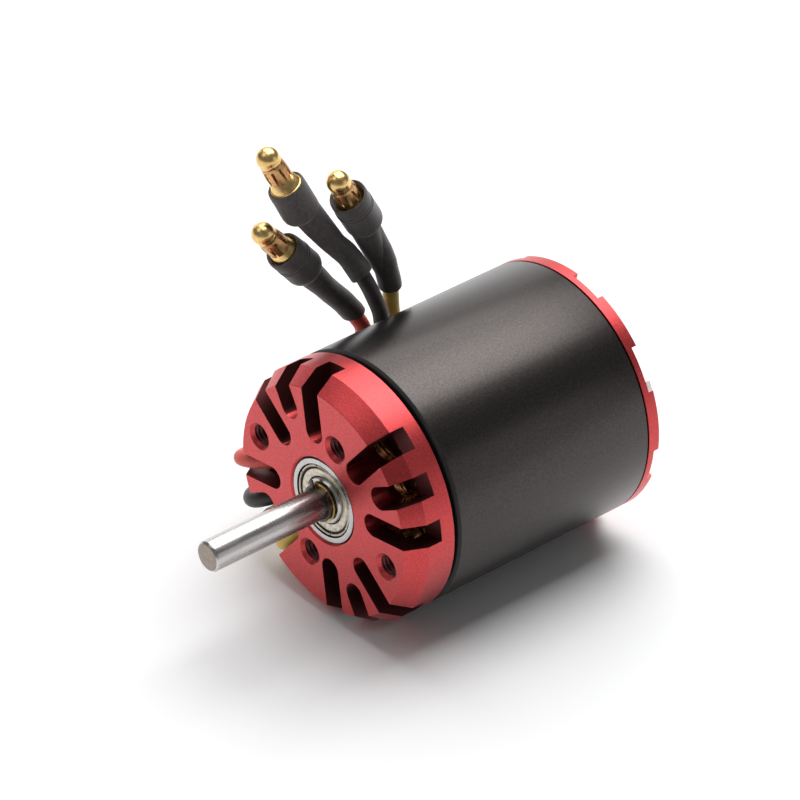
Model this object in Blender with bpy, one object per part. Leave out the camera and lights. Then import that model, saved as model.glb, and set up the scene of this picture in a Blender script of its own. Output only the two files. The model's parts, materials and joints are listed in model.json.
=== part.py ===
"""Brushless outrunner motor, 42 mm across the can and 50 mm long over its red end pieces.

Frame: metres, +Z up, the motor lying on its side on the plane z = 0. The motor's axis is parallel to Y:
the output shaft points to -Y and the rear bell faces +Y. The origin is the middle of the footprint.

Sub-parts are modelled in the axis frame: y = 0 on the flat mounting face, y growing towards the rear,
x and z measured from the motor's axis. One empty, motor_axis, carries that frame to its place.
"""
import math

import bmesh
import bpy
from mathutils import Matrix, Vector

MM = 0.001

# ---- driving dimensions (mm, read in the axis frame) ----
CAN_RADIUS = 21.0
BODY_LENGTH = 50.1
SHAFT_RADIUS = 2.5
SHAFT_FREE = 22.4
GAP = 0.3

# front mount
FACE_RADIUS = 18.9
SHOULDER_BACK = 3.2
FLANGE_BACK = 8.3
SPIGOT_RADIUS = 18.9
SPIGOT_BACK = 10.0
CAVITY_RADIUS = 17.2
PLATE_THICKNESS = 3.2
TUBE_RADIUS = 8.6
TUBE_BORE = 5.2
TUBE_BACK = 46.0
BORE_CHAMFER = 0.3

# vent slots of the front mount: four groups of three, the middle one shorter
SLOT_WIDTH = 3.8
SLOT_FLOOR = 5.8
SLOT_GROUP_ANGLE = 29.3
SLOT_SPREAD = 20.8
SLOT_TIP_LONG = 10.0
SLOT_TIP_SHORT = 13.4

# threaded mounting holes (M4): two on each of two pitch circles
HOLE_RADIUS = 1.75
HOLE_CHAMFER_RADIUS = 2.25
HOLES = ((15.45, 164.3), (15.45, -15.7), (11.42, 74.3), (11.42, 254.3))

# ball bearings, 5 x 14 x 5
BEARING_RADIUS = 7.0
BEARING_WIDTH = 4.7
BEARING_SEAT_RADIUS = BEARING_RADIUS + GAP
OUTER_RACE_RADIUS = 5.85
INNER_RACE_RADIUS = 3.65
SHIELD_THICKNESS = 0.3
SHIELD_RECESS = 0.35
BALL_RADIUS = 0.85
BALL_PITCH = 4.75
BALL_COUNT = 7
FRONT_BEARING_Y = 0.15
REAR_BEARING_Y = 40.9
BEARING_STOP = GAP

# stator: twelve teeth and twelve coils
TOOTH_COUNT = 12
CORE_FRONT = 11.5
CORE_BACK = 40.5
CORE_BORE = TUBE_RADIUS + GAP
YOKE_RADIUS = 10.6
TOOTH_HALF_WIDTH = 1.3
SHOE_INNER_RADIUS = 15.9
CORE_RADIUS = 16.4
SHOE_HALF_ANGLE = 13.0
INSULATOR_THICKNESS = 0.7
COIL_INNER = 11.0
COIL_OUTER = 14.9
COIL_HALF_WIDTH_INNER = 2.7
COIL_HALF_WIDTH_OUTER = 3.7
COIL_END_TURN = 2.6

# rotor: can, fourteen magnets and rear bell
CAN_BORE = 19.4
CAN_FRONT = 9.3
CAN_BACK = 47.7
CAN_CHAMFER = 0.45
MAGNET_COUNT = 14
MAGNET_INNER = 17.0
MAGNET_OUTER = CAN_BORE - GAP
MAGNET_ANGLE = 22.0
MAGNET_FRONT = 11.0
MAGNET_BACK = 41.5
BELL_SPIGOT_FRONT = 45.0
BELL_SPIGOT_BORE = 17.2
BELL_WEB_FRONT = 47.4
BELL_HUB_RADIUS = 6.4
BELL_HUB_FRONT = 45.9
BELL_NOTCH_FLOOR = 49.1
BELL_NOTCH_WIDTH = 5.8
BELL_NOTCH_ANGLES = (35.3, 77.1)
BELL_WINDOW = (9.2, 16.2)
BELL_WINDOW_WIDTH = 4.8
GRUB_RADIUS = 1.2
GRUB_REACH = (3.0, 5.9)
GRUB_Y = 48.0
GRUB_ANGLES = (35.3, 125.3)
HEX_RADIUS = 0.7

# clip and shim in front of the front bearing
CLIP_RADIUS = 3.2
CLIP_LUG_RADIUS = 4.1
CLIP_LUG_ANGLE = 17.0
CLIP_OPENING = 50.0
CLIP_MIDDLE = -97.0
CLIP_FRONT = -1.15
CLIP_BACK = -0.75
SHIM_RADIUS = 3.2
SHIM_FRONT = -0.4
SHIM_BACK = -0.15

# leads and their bullet connectors
LEAD_RADIUS = 1.3
SLEEVE_RADIUS = 1.9
CUP_RADIUS = 3.1
CUP_LENGTH = 6.4
PIN_COLLAR = (2.65, 0.5)
PIN_NECK_RADIUS = 1.05
PIN_NOSE_RADIUS = 1.85
PIN_NOSE_CENTRE = 6.1
CAGE_BORE = 1.35
CAGE_RADIUS = 1.95
CAGE_SPAN = (1.15, 4.4)

# facets round each turned part
FINE = 48
COARSE = 24
TINY = 12

# Leads, point by point by hand, in the axis frame (mm): from the coils out through a slot of the front
# mount, back beside the can and up to the connector. The second list of each lead runs under its
# heat-shrink sleeve, to the sleeve's mouth, where the bullet carries on in the same direction.
LEADS = {
    "red": (
        ((-13.2, 6.1, -2.0), (-15.2, 4.2, -2.2), (-17.1, 2.5, -2.5), (-19.0, 1.5, -2.9), (-20.7, 1.4, -3.4),
         (-22.0, 2.4, -4.3), (-22.8, 4.3, -5.0), (-23.2, 7.1, -5.1), (-23.7, 13.2, -4.3), (-24.4, 21.0, -1.4),
         (-25.1, 27.1, 1.8), (-25.4, 29.8, 5.4)),
        ((-25.7, 28.2, 9.2), (-25.9, 26.2, 12.2), (-26.3, 23.2, 15.8), (-26.2, 19.5, 20.4),
         (-26.6, 17.5, 22.9), (-26.9, 15.5, 25.3)),
    ),
    "black": (
        ((-12.6, 6.2, -7.1), (-14.2, 4.3, -8.0), (-15.9, 2.6, -8.8), (-17.6, 1.7, -9.7), (-19.1, 1.8, -10.4),
         (-20.5, 2.9, -11.0), (-21.3, 4.7, -11.3), (-21.6, 7.2, -11.1), (-22.0, 13.5, -9.8),
         (-22.8, 21.0, -6.3), (-23.0, 27.4, -0.8), (-22.6, 30.8, 4.6), (-22.4, 30.9, 9.2),
         (-21.9, 28.9, 14.2)),
        ((-21.8, 26.7, 18.7), (-22.8, 24.5, 23.0), (-24.0, 21.6, 26.7), (-25.6, 18.4, 31.3),
         (-26.3, 17.1, 34.2), (-26.9, 15.8, 37.0)),
    ),
    "yellow": (
        ((-8.7, 6.2, -10.4), (-10.1, 4.7, -12.1), (-11.6, 3.6, -13.9), (-13.0, 3.4, -15.6),
         (-14.3, 4.1, -17.0), (-15.1, 6.0, -17.8), (-15.6, 9.6, -17.6), (-17.6, 16.5, -15.8),
         (-20.8, 24.5, -10.6), (-23.2, 31.0, -3.4), (-24.0, 34.5, 4.0), (-23.6, 34.0, 9.8)),
        ((-22.8, 33.1, 13.8), (-22.4, 32.1, 17.2), (-22.3, 31.0, 20.9), (-22.7, 28.3, 26.9),
         (-22.5, 26.7, 29.7), (-22.3, 25.1, 32.4)),
    ),
}
LEAD_STEP = 3.0
SPAN_STEPS = 12
SLEEVE_STEP = 4.0


# ---- scene and materials ----
def clear_scene():
    for obj in list(bpy.data.objects):
        bpy.data.objects.remove(obj, do_unlink=True)


def material(name, colour, roughness, metallic):
    mat = bpy.data.materials.new(name)
    mat.use_nodes = True
    shader = mat.node_tree.nodes["Principled BSDF"]
    shader.inputs["Base Color"].default_value = (*colour, 1.0)
    shader.inputs["Roughness"].default_value = roughness
    shader.inputs["Metallic"].default_value = metallic
    mat.diffuse_color = (*colour, 1.0)
    return mat


def make_axis_frame():
    """The empty that every sub-part hangs on: on the motor's axis, at the mounting face."""
    frame = bpy.data.objects.new("motor_axis", None)
    bpy.context.collection.objects.link(frame)
    frame.location = (0.0, (SHAFT_FREE - BODY_LENGTH) / 2 * MM, CAN_RADIUS * MM)
    return frame


def place(name, mesh, mat, parent):
    obj = bpy.data.objects.new(name, mesh)
    bpy.context.collection.objects.link(obj)
    obj.parent = parent
    if mat is not None:
        mesh.materials.append(mat)
    return obj


def finish_mesh(name, bm, smooth=True):
    bmesh.ops.recalc_face_normals(bm, faces=bm.faces)
    mesh = bpy.data.meshes.new(name)
    bm.to_mesh(mesh)
    bm.free()
    if smooth:
        mesh.shade_smooth()
        mesh.set_sharp_from_angle(angle=math.radians(35))
    return mesh


# ---- shapes ----
def polar(radius, angle, y=0.0):
    """A point at an angle in degrees round the axis, from +x towards +z."""
    turn = math.radians(angle)
    return Vector((radius * math.cos(turn), y, radius * math.sin(turn))) * MM


def ring_points(radius, segments, y):
    """A regular polygon round the axis whose flats lie at the radius, one of them underneath."""
    corner = radius / math.cos(math.pi / segments)
    return [polar(corner, 360.0 * (i + 0.5) / segments, y) for i in range(segments)]


def turned_bm(profile, segments):
    """A closed profile of (radius, y) turned round the axis; a radius of 0 closes on the axis."""
    bm = bmesh.new()
    rings = []
    for radius, y in profile:
        if radius == 0:
            rings.append([bm.verts.new((0.0, y * MM, 0.0))])
        else:
            rings.append([bm.verts.new(p) for p in ring_points(radius, segments, y)])
    for ring, following in zip(rings, rings[1:] + rings[:1]):
        if len(ring) == 1 and len(following) == 1:
            continue
        for i in range(segments):
            j = (i + 1) % segments
            corners = [ring[0]] if len(ring) == 1 else [ring[i], ring[j]]
            corners += [following[0]] if len(following) == 1 else [following[j], following[i]]
            bm.faces.new(corners)
    return bm


def tube_profile(inner, outer, front, back):
    return [(inner, front), (outer, front), (outer, back), (inner, back)]


def add_box(bm, centre, size, turn):
    """A box of size (along, y, across) whose long side points out at an angle round the axis."""
    matrix = Matrix.Rotation(-math.radians(turn), 4, "Y") @ Matrix.Translation(Vector(centre) * MM)
    sides = Matrix.Diagonal((*(Vector(size) * MM), 1.0))
    bmesh.ops.create_cube(bm, size=1.0, matrix=matrix @ sides)


def cutter(name, bm, parent):
    obj = place(name, finish_mesh(name, bm, smooth=False), None, parent)
    obj.hide_render = True
    obj.display_type = "WIRE"
    return obj


def combine(obj, other, operation):
    mod = obj.modifiers.new(operation.lower(), "BOOLEAN")
    mod.operation = operation
    mod.solver = "EXACT"
    mod.object = other


def slot_outline(tip, width, reach, sides=6):
    """A slot pointing out from the axis along +x: round at its inner end, square at its reach."""
    half = width / 2
    centre = tip + half
    points = [(reach, -half), (reach, half)]
    for i in range(sides + 1):
        turn = math.pi / 2 + math.pi * i / sides
        points.append((centre + half * math.cos(turn), half * math.sin(turn)))
    return points


def add_prism(bm, outline, front, back, turn):
    """An outline of (out, across) points, turned by an angle round the axis and extruded along y."""
    spin = Matrix.Rotation(-math.radians(turn), 4, "Y")
    near = [bm.verts.new(spin @ (Vector((a, front, b)) * MM)) for a, b in outline]
    far = [bm.verts.new(spin @ (Vector((a, back, b)) * MM)) for a, b in outline]
    bm.faces.new(near)
    bm.faces.new(list(reversed(far)))
    for i in range(len(outline)):
        j = (i + 1) % len(outline)
        bm.faces.new((near[i], far[i], far[j], near[j]))


def plate_with_bore(outline, bore, segments, front, back):
    """A flat plate of an outline of (x, z) points with a round bore, between two y values."""
    bm = bmesh.new()
    loops = [[Vector((x, front, z)) * MM for x, z in outline], ring_points(bore, segments, front)]
    edges = []
    for loop in loops:
        verts = [bm.verts.new(p) for p in loop]
        edges += [bm.edges.new((a, b)) for a, b in zip(verts, verts[1:] + verts[:1])]
    bmesh.ops.triangle_fill(bm, use_beauty=True, edges=edges)
    grown = bmesh.ops.extrude_face_region(bm, geom=list(bm.faces))
    moved = [item for item in grown["geom"] if isinstance(item, bmesh.types.BMVert)]
    bmesh.ops.translate(bm, verts=moved, vec=(0.0, (back - front) * MM, 0.0))
    return bm


# ---- stationary side ----
def make_front_mount(mats, parent):
    profile = [
        (BEARING_SEAT_RADIUS + BORE_CHAMFER, 0.0), (FACE_RADIUS, 0.0),
        (CAN_RADIUS, SHOULDER_BACK), (CAN_RADIUS, FLANGE_BACK), (SPIGOT_RADIUS, FLANGE_BACK),
        (SPIGOT_RADIUS, SPIGOT_BACK), (CAVITY_RADIUS, SPIGOT_BACK), (CAVITY_RADIUS, PLATE_THICKNESS),
        (TUBE_RADIUS, PLATE_THICKNESS), (TUBE_RADIUS, TUBE_BACK), (BEARING_SEAT_RADIUS, TUBE_BACK),
        (BEARING_SEAT_RADIUS, REAR_BEARING_Y - BEARING_STOP), (TUBE_BORE, REAR_BEARING_Y - BEARING_STOP),
        (TUBE_BORE, FRONT_BEARING_Y + BEARING_WIDTH + BEARING_STOP),
        (BEARING_SEAT_RADIUS, FRONT_BEARING_Y + BEARING_WIDTH + BEARING_STOP),
        (BEARING_SEAT_RADIUS, BORE_CHAMFER),
    ]
    mount = place("front_mount", finish_mesh("front_mount", turned_bm(profile, FINE)), mats["red"], parent)

    slots = bmesh.new()
    for group in range(4):
        for step in (-1, 0, 1):
            tip = SLOT_TIP_LONG if step else SLOT_TIP_SHORT
            angle = SLOT_GROUP_ANGLE + 90 * group + SLOT_SPREAD * step
            outline = slot_outline(tip, SLOT_WIDTH, CAN_RADIUS + 2)
            add_prism(slots, outline, -1.0, SLOT_FLOOR, angle)
    combine(mount, cutter("slot_cutter", slots, parent), "DIFFERENCE")

    holes = bmesh.new()
    step = HOLE_CHAMFER_RADIUS - HOLE_RADIUS
    for radius, angle in HOLES:
        drill = turned_bm(
            [(0, -1.0), (HOLE_CHAMFER_RADIUS, -1.0), (HOLE_CHAMFER_RADIUS, 0.0), (HOLE_RADIUS, step),
             (HOLE_RADIUS, PLATE_THICKNESS + 1), (0, PLATE_THICKNESS + 1)], TINY)
        bmesh.ops.translate(drill, verts=drill.verts, vec=polar(radius, angle))
        part = bpy.data.meshes.new("drill")
        drill.to_mesh(part)
        drill.free()
        holes.from_mesh(part)
        bpy.data.meshes.remove(part)
    combine(mount, cutter("hole_cutter", holes, parent), "DIFFERENCE")
    return mount


def core_outline(shoe_half_angle):
    """The twelve-tooth outline of the laminations, as (x, z) points."""
    points = []
    pitch = 360.0 / TOOTH_COUNT
    for tooth in range(TOOTH_COUNT):
        middle = pitch * tooth
        foot = math.degrees(math.asin(TOOTH_HALF_WIDTH / YOKE_RADIUS))
        neck = math.degrees(math.asin(TOOTH_HALF_WIDTH / SHOE_INNER_RADIUS))
        corners = [
            (YOKE_RADIUS, -foot), (SHOE_INNER_RADIUS, -neck), (SHOE_INNER_RADIUS, -shoe_half_angle),
            (CORE_RADIUS, -shoe_half_angle), (CORE_RADIUS, 0.0), (CORE_RADIUS, shoe_half_angle),
            (SHOE_INNER_RADIUS, shoe_half_angle), (SHOE_INNER_RADIUS, neck), (YOKE_RADIUS, foot),
        ]
        for radius, angle in corners:
            spot = polar(radius, middle + angle) / MM
            points.append((spot.x, spot.z))
    return points


def make_stator(mats, parent):
    core = plate_with_bore(core_outline(SHOE_HALF_ANGLE), CORE_BORE, COARSE, CORE_FRONT, CORE_BACK)
    place("stator_core", finish_mesh("stator_core", core, smooth=False), mats["lamination"], parent)
    ends = {
        "insulator_front": CORE_FRONT - GAP - INSULATOR_THICKNESS,
        "insulator_rear": CORE_BACK + GAP,
    }
    for name, front in ends.items():
        plate = plate_with_bore(
            core_outline(SHOE_HALF_ANGLE - 2), CORE_BORE, COARSE, front, front + INSULATOR_THICKNESS)
        place(name, finish_mesh(name, plate, smooth=False), mats["insulator"], parent)
    for tooth in range(TOOTH_COUNT):
        make_coil(f"coil_{tooth + 1:02d}", 360.0 / TOOTH_COUNT * tooth, mats["copper"], parent)


def loop_of_coil(half_width, front, back, corner):
    """A rectangle in (y, across) with cut corners, eight points."""
    return [
        (front, -half_width + corner), (front, half_width - corner), (front + corner, half_width),
        (back - corner, half_width), (back, half_width - corner), (back, -half_width + corner),
        (back - corner, -half_width), (front + corner, -half_width),
    ]


def make_coil(name, angle, mat, parent):
    """One winding: a ring round its tooth, wider at its outer end than at its inner end."""
    hole_half = TOOTH_HALF_WIDTH + GAP
    hole_front = CORE_FRONT - 2 * GAP - INSULATOR_THICKNESS
    hole_back = CORE_BACK + 2 * GAP + INSULATOR_THICKNESS
    spin = Matrix.Rotation(-math.radians(angle), 4, "Y")
    bm = bmesh.new()
    loops = []
    for out, half in ((COIL_INNER, COIL_HALF_WIDTH_INNER), (COIL_OUTER, COIL_HALF_WIDTH_OUTER)):
        outer = loop_of_coil(half, hole_front - COIL_END_TURN, hole_back + COIL_END_TURN, 0.9)
        inner = loop_of_coil(hole_half, hole_front, hole_back, 0.3)
        for loop in (outer, inner):
            loops.append([bm.verts.new(spin @ (Vector((out, y, across)) * MM)) for y, across in loop])
    low_outer, low_inner, high_outer, high_inner = loops
    for a, b in ((low_outer, high_outer), (high_outer, high_inner), (high_inner, low_inner),
                 (low_inner, low_outer)):
        for i in range(8):
            j = (i + 1) % 8
            bm.faces.new((a[i], a[j], b[j], b[i]))
    place(name, finish_mesh(name, bm), mat, parent)


def make_bearing(side, front, mats, parent):
    """A shielded deep-groove bearing: two rings, two shields, and the balls in their cage."""
    back = front + BEARING_WIDTH
    bore = SHAFT_RADIUS + GAP
    rings = {
        f"{side}_bearing_outer_ring": (OUTER_RACE_RADIUS, BEARING_RADIUS),
        f"{side}_bearing_inner_ring": (bore, INNER_RACE_RADIUS),
    }
    for name, (inner, outer) in rings.items():
        mesh = finish_mesh(name, turned_bm(tube_profile(inner, outer, front, back), COARSE))
        place(name, mesh, mats["bearing_steel"], parent)
    shields = {
        f"{side}_bearing_shield_front": front + SHIELD_RECESS,
        f"{side}_bearing_shield_rear": back - SHIELD_RECESS - SHIELD_THICKNESS,
    }
    for name, y in shields.items():
        profile = tube_profile(INNER_RACE_RADIUS + GAP, OUTER_RACE_RADIUS - 0.25, y, y + SHIELD_THICKNESS)
        place(name, finish_mesh(name, turned_bm(profile, COARSE)), mats["shield"], parent)

    name = f"{side}_bearing_balls"
    middle = (front + back) / 2
    cage = turned_bm(tube_profile(BALL_PITCH - 0.3, BALL_PITCH + 0.3, middle - 0.4, middle + 0.4), TINY)
    balls = place(name, finish_mesh(name, cage), mats["bearing_steel"], parent)
    spheres = bmesh.new()
    for i in range(BALL_COUNT):
        spot = Matrix.Translation(polar(BALL_PITCH, 360.0 * i / BALL_COUNT, middle))
        bmesh.ops.create_icosphere(spheres, subdivisions=2, radius=BALL_RADIUS * MM, matrix=spot)
    combine(balls, cutter(f"{name}_spheres", spheres, parent), "UNION")


# ---- rotating side ----
def make_can(mats, parent):
    profile = [
        (CAN_BORE, CAN_FRONT), (CAN_RADIUS - CAN_CHAMFER, CAN_FRONT), (CAN_RADIUS, CAN_FRONT + CAN_CHAMFER),
        (CAN_RADIUS, CAN_BACK), (CAN_BORE, CAN_BACK),
    ]
    place("rotor_can", finish_mesh("rotor_can", turned_bm(profile, FINE)), mats["black"], parent)


def make_magnets(mats, parent):
    for i in range(MAGNET_COUNT):
        middle = 360.0 * i / MAGNET_COUNT
        angles = [middle - MAGNET_ANGLE / 2 + MAGNET_ANGLE * k / 3 for k in range(4)]
        outline = [polar(MAGNET_INNER, a) / MM for a in angles]
        outline += [polar(MAGNET_OUTER, a) / MM for a in reversed(angles)]
        bm = bmesh.new()
        add_prism(bm, [(p.x, p.z) for p in outline], MAGNET_FRONT, MAGNET_BACK, 0.0)
        name = f"magnet_{i + 1:02d}"
        place(name, finish_mesh(name, bm, smooth=False), mats["magnet"], parent)


def make_rear_bell(mats, parent):
    spigot = CAN_BORE - GAP
    flange = CAN_BACK + GAP
    profile = [
        (SHAFT_RADIUS + GAP, BELL_HUB_FRONT), (BELL_HUB_RADIUS, BELL_HUB_FRONT),
        (BELL_HUB_RADIUS, BELL_WEB_FRONT), (BELL_SPIGOT_BORE, BELL_WEB_FRONT),
        (BELL_SPIGOT_BORE, BELL_SPIGOT_FRONT), (spigot, BELL_SPIGOT_FRONT), (spigot, flange),
        (CAN_RADIUS, flange), (CAN_RADIUS, BODY_LENGTH), (SHAFT_RADIUS + GAP, BODY_LENGTH),
    ]
    bell = place("rear_bell", finish_mesh("rear_bell", turned_bm(profile, FINE)), mats["red"], parent)

    windows = bmesh.new()
    notches = bmesh.new()
    for quarter in range(4):
        for start in BELL_NOTCH_ANGLES:
            angle = start + 90 * quarter
            near, far = BELL_WINDOW
            add_prism(windows, slot_outline(near, BELL_WINDOW_WIDTH, far), BELL_WEB_FRONT - 1,
                      BODY_LENGTH + 2, angle)
            add_box(notches, (CAN_RADIUS - 2.0, BELL_NOTCH_FLOOR + 1.5, 0), (9.0, 3.0, BELL_NOTCH_WIDTH),
                    angle)
    combine(bell, cutter("window_cutter", windows, parent), "DIFFERENCE")
    combine(bell, cutter("notch_cutter", notches, parent), "DIFFERENCE")

    bores = bmesh.new()
    for angle in GRUB_ANGLES:
        add_rod(bores, GRUB_RADIUS + GAP, 1.0, BELL_WINDOW[0] + 1.0, angle, TINY)
    combine(bell, cutter("grub_bore_cutter", bores, parent), "DIFFERENCE")


def add_rod(bm, radius, start, end, angle, segments):
    """A round rod pointing out from the axis at an angle, at the height of the grub screws."""
    spin = Matrix.Rotation(-math.radians(angle), 4, "Y")
    lift = Matrix.Translation(Vector(((start + end) / 2, GRUB_Y, 0.0)) * MM)
    tip = Matrix.Rotation(math.radians(90), 4, "Y")
    bmesh.ops.create_cone(
        bm, cap_ends=True, segments=segments, radius1=radius * MM, radius2=radius * MM,
        depth=(end - start) * MM, matrix=spin @ lift @ tip)


def make_grub_screws(mats, parent):
    start, end = GRUB_REACH
    for i, angle in enumerate(GRUB_ANGLES):
        name = f"grub_screw_{i + 1}"
        body = bmesh.new()
        add_rod(body, GRUB_RADIUS, start, end, angle, TINY)
        screw = place(name, finish_mesh(name, body), mats["black_steel"], parent)
        socket = bmesh.new()
        add_rod(socket, HEX_RADIUS, end - 1.4, end + 0.6, angle, 6)
        combine(screw, cutter(f"{name}_hex", socket, parent), "DIFFERENCE")


def make_shaft(mats, parent):
    chamfer = 0.35
    end = BODY_LENGTH - 0.3
    profile = [
        (0, -SHAFT_FREE), (SHAFT_RADIUS - chamfer, -SHAFT_FREE), (SHAFT_RADIUS, -SHAFT_FREE + chamfer),
        (SHAFT_RADIUS, end - chamfer), (SHAFT_RADIUS - chamfer, end), (0, end),
    ]
    place("shaft", finish_mesh("shaft", turned_bm(profile, COARSE)), mats["steel"], parent)


def make_clip_and_shim(mats, parent):
    sides = 20
    spread = 360.0 - CLIP_OPENING
    first = CLIP_MIDDLE - spread / 2
    angles = [first + spread * i / sides for i in range(sides + 1)]
    inner = SHAFT_RADIUS + GAP
    outline = [polar(inner, a) / MM for a in angles]
    outline += [polar(CLIP_LUG_RADIUS, a) / MM for a in (angles[-1], angles[-1] - CLIP_LUG_ANGLE / 2)]
    outline += [polar(CLIP_RADIUS, angles[-1] - CLIP_LUG_ANGLE) / MM]
    outline += [polar(CLIP_RADIUS, a) / MM for a in reversed(angles[2:-2])]
    outline += [polar(CLIP_RADIUS, first + CLIP_LUG_ANGLE) / MM]
    outline += [polar(CLIP_LUG_RADIUS, a) / MM for a in (first + CLIP_LUG_ANGLE / 2, first)]
    bm = bmesh.new()
    add_prism(bm, [(p.x, p.z) for p in outline], CLIP_FRONT, CLIP_BACK, 0.0)
    place("retaining_clip", finish_mesh("retaining_clip", bm, smooth=False), mats["black_steel"], parent)
    shim = turned_bm(tube_profile(inner, SHIM_RADIUS, SHIM_FRONT, SHIM_BACK), COARSE)
    place("shim_washer", finish_mesh("shim_washer", shim), mats["brass"], parent)


# ---- leads ----
def smooth_path(points):
    """A dense list of points on a smooth curve through the route's points."""
    route = [Vector(p) for p in points]
    route = [2 * route[0] - route[1]] + route + [2 * route[-1] - route[-2]]
    path = []
    for a, b, c, d in zip(route, route[1:], route[2:], route[3:]):
        for i in range(SPAN_STEPS):
            t = i / SPAN_STEPS
            path.append(0.5 * (2 * b + (c - a) * t + (2 * a - 5 * b + 4 * c - d) * t ** 2
                               + (3 * b - a - 3 * c + d) * t ** 3))
    path.append(route[-2])
    return path


def along(path, start, end, step):
    """Points evenly spaced along a dense path between two distances from its beginning."""
    count = max(2, math.ceil((end - start) / step))
    wanted = [start + (end - start) * i / count for i in range(count + 1)]
    points = []
    travelled = 0.0
    for a, b in zip(path, path[1:]):
        piece = (b - a).length
        while wanted and wanted[0] <= travelled + piece + 1e-9:
            points.append(a.lerp(b, (wanted.pop(0) - travelled) / piece))
        travelled += piece
    return points


def path_length(path):
    return sum((b - a).length for a, b in zip(path, path[1:]))


def tube(name, points, radii, mat, parent):
    """A round tube with filled ends along points, of a radius given at each."""
    curve = bpy.data.curves.new(name, "CURVE")
    curve.dimensions = "3D"
    curve.bevel_depth = MM
    curve.bevel_resolution = 2
    curve.use_fill_caps = True
    spline = curve.splines.new("POLY")
    spline.points.add(len(points) - 1)
    for spot, point, radius in zip(spline.points, points, radii):
        spot.co = (*(point * MM), 1.0)
        spot.radius = radius
    place(name, curve, mat, parent)


def make_lead(colour, mats, parent):
    lead_route, sleeve_route = LEADS[colour]
    path = smooth_path(lead_route + sleeve_route)
    total = path_length(path)
    split = path_length(path[:SPAN_STEPS * len(lead_route) + 1])
    lead = along(path, 0.0, split - GAP, LEAD_STEP)
    tube(f"lead_{colour}", lead, [LEAD_RADIUS] * len(lead), mats[f"wire_{colour}"], parent)

    shoulder = total - CUP_LENGTH
    narrow = along(path, split + GAP, shoulder - 0.5, SLEEVE_STEP)
    cup = along(path, shoulder, total, CUP_LENGTH / 2)
    radii = [SLEEVE_RADIUS] * len(narrow) + [CUP_RADIUS] * len(cup)
    tube(f"sleeve_{colour}", narrow + cup, radii, mats["heat_shrink"], parent)
    make_bullet(colour, cup[-1], (cup[-1] - cup[-2]).normalized(), mats, parent)


def make_bullet(colour, mouth, aim, mats, parent):
    """A bullet pin with a round nose, and the spring cage round its neck, at the mouth of a sleeve."""
    collar_radius, collar_top = PIN_COLLAR
    nose = []
    for i in range(5):
        turn = math.radians(-50 + 35 * i)
        nose.append((PIN_NOSE_RADIUS * math.cos(turn), PIN_NOSE_CENTRE + PIN_NOSE_RADIUS * math.sin(turn)))
    nose[-1] = (0, PIN_NOSE_CENTRE + PIN_NOSE_RADIUS)
    profile = [(0, GAP), (collar_radius, GAP), (collar_radius, collar_top + GAP),
               (PIN_NECK_RADIUS, collar_top + GAP), (PIN_NECK_RADIUS, nose[0][1])] + nose
    steady = Vector((0.0, 1.0, 0.0)).rotation_difference(aim)
    shapes = {
        f"bullet_pin_{colour}": profile,
        f"spring_cage_{colour}": tube_profile(CAGE_BORE, CAGE_RADIUS, *CAGE_SPAN),
    }
    for name, shape in shapes.items():
        obj = place(name, finish_mesh(name, turned_bm(shape, TINY)), mats["gold"], parent)
        obj.location = mouth * MM
        obj.rotation_mode = "QUATERNION"
        obj.rotation_quaternion = steady


def make_materials():
    return {
        "red": material("red_anodised", (0.55, 0.035, 0.045), 0.38, 1.0),
        "black": material("black_can", (0.02, 0.02, 0.021), 0.42, 0.6),
        "steel": material("ground_steel", (0.62, 0.6, 0.58), 0.22, 1.0),
        "bearing_steel": material("bearing_steel", (0.68, 0.68, 0.67), 0.25, 1.0),
        "shield": material("shield_steel", (0.55, 0.52, 0.46), 0.35, 1.0),
        "black_steel": material("black_steel", (0.05, 0.048, 0.045), 0.4, 0.9),
        "brass": material("brass_shim", (0.6, 0.42, 0.16), 0.35, 1.0),
        "lamination": material("lamination_steel", (0.2, 0.2, 0.21), 0.45, 0.9),
        "insulator": material("insulator", (0.18, 0.09, 0.05), 0.6, 0.0),
        "copper": material("enamelled_copper", (0.35, 0.12, 0.05), 0.3, 0.9),
        "magnet": material("magnet_nickel", (0.5, 0.5, 0.5), 0.25, 1.0),
        "gold": material("gold_plate", (0.83, 0.6, 0.24), 0.2, 1.0),
        "heat_shrink": material("heat_shrink", (0.02, 0.02, 0.022), 0.6, 0.0),
        "wire_red": material("wire_red", (0.5, 0.05, 0.04), 0.5, 0.0),
        "wire_black": material("wire_black", (0.02, 0.02, 0.022), 0.55, 0.0),
        "wire_yellow": material("wire_yellow", (0.75, 0.48, 0.08), 0.5, 0.0),
    }


def main():
    clear_scene()
    mats = make_materials()
    parent = make_axis_frame()
    make_front_mount(mats, parent)
    make_stator(mats, parent)
    make_bearing("front", FRONT_BEARING_Y, mats, parent)
    make_bearing("rear", REAR_BEARING_Y, mats, parent)
    make_can(mats, parent)
    make_magnets(mats, parent)
    make_rear_bell(mats, parent)
    make_grub_screws(mats, parent)
    make_shaft(mats, parent)
    make_clip_and_shim(mats, parent)
    for colour in LEADS:
        make_lead(colour, mats, parent)
    bpy.context.view_layer.update()


main()
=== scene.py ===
"""Looks of the brushless outrunner motor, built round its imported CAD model.

Shapes are made in the axis frame, in mm: y = 0 on the flat mounting face and growing towards the
rear, x and z measured from the motor's axis. AXIS carries them into the CAD model's frame, in
metres. Angles are in degrees, from +x towards +z.
"""

import json
from math import asin, cos, degrees, hypot, pi, radians, sin, sqrt

import bmesh
import bpy
from mathutils import Matrix, Vector, noise


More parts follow.
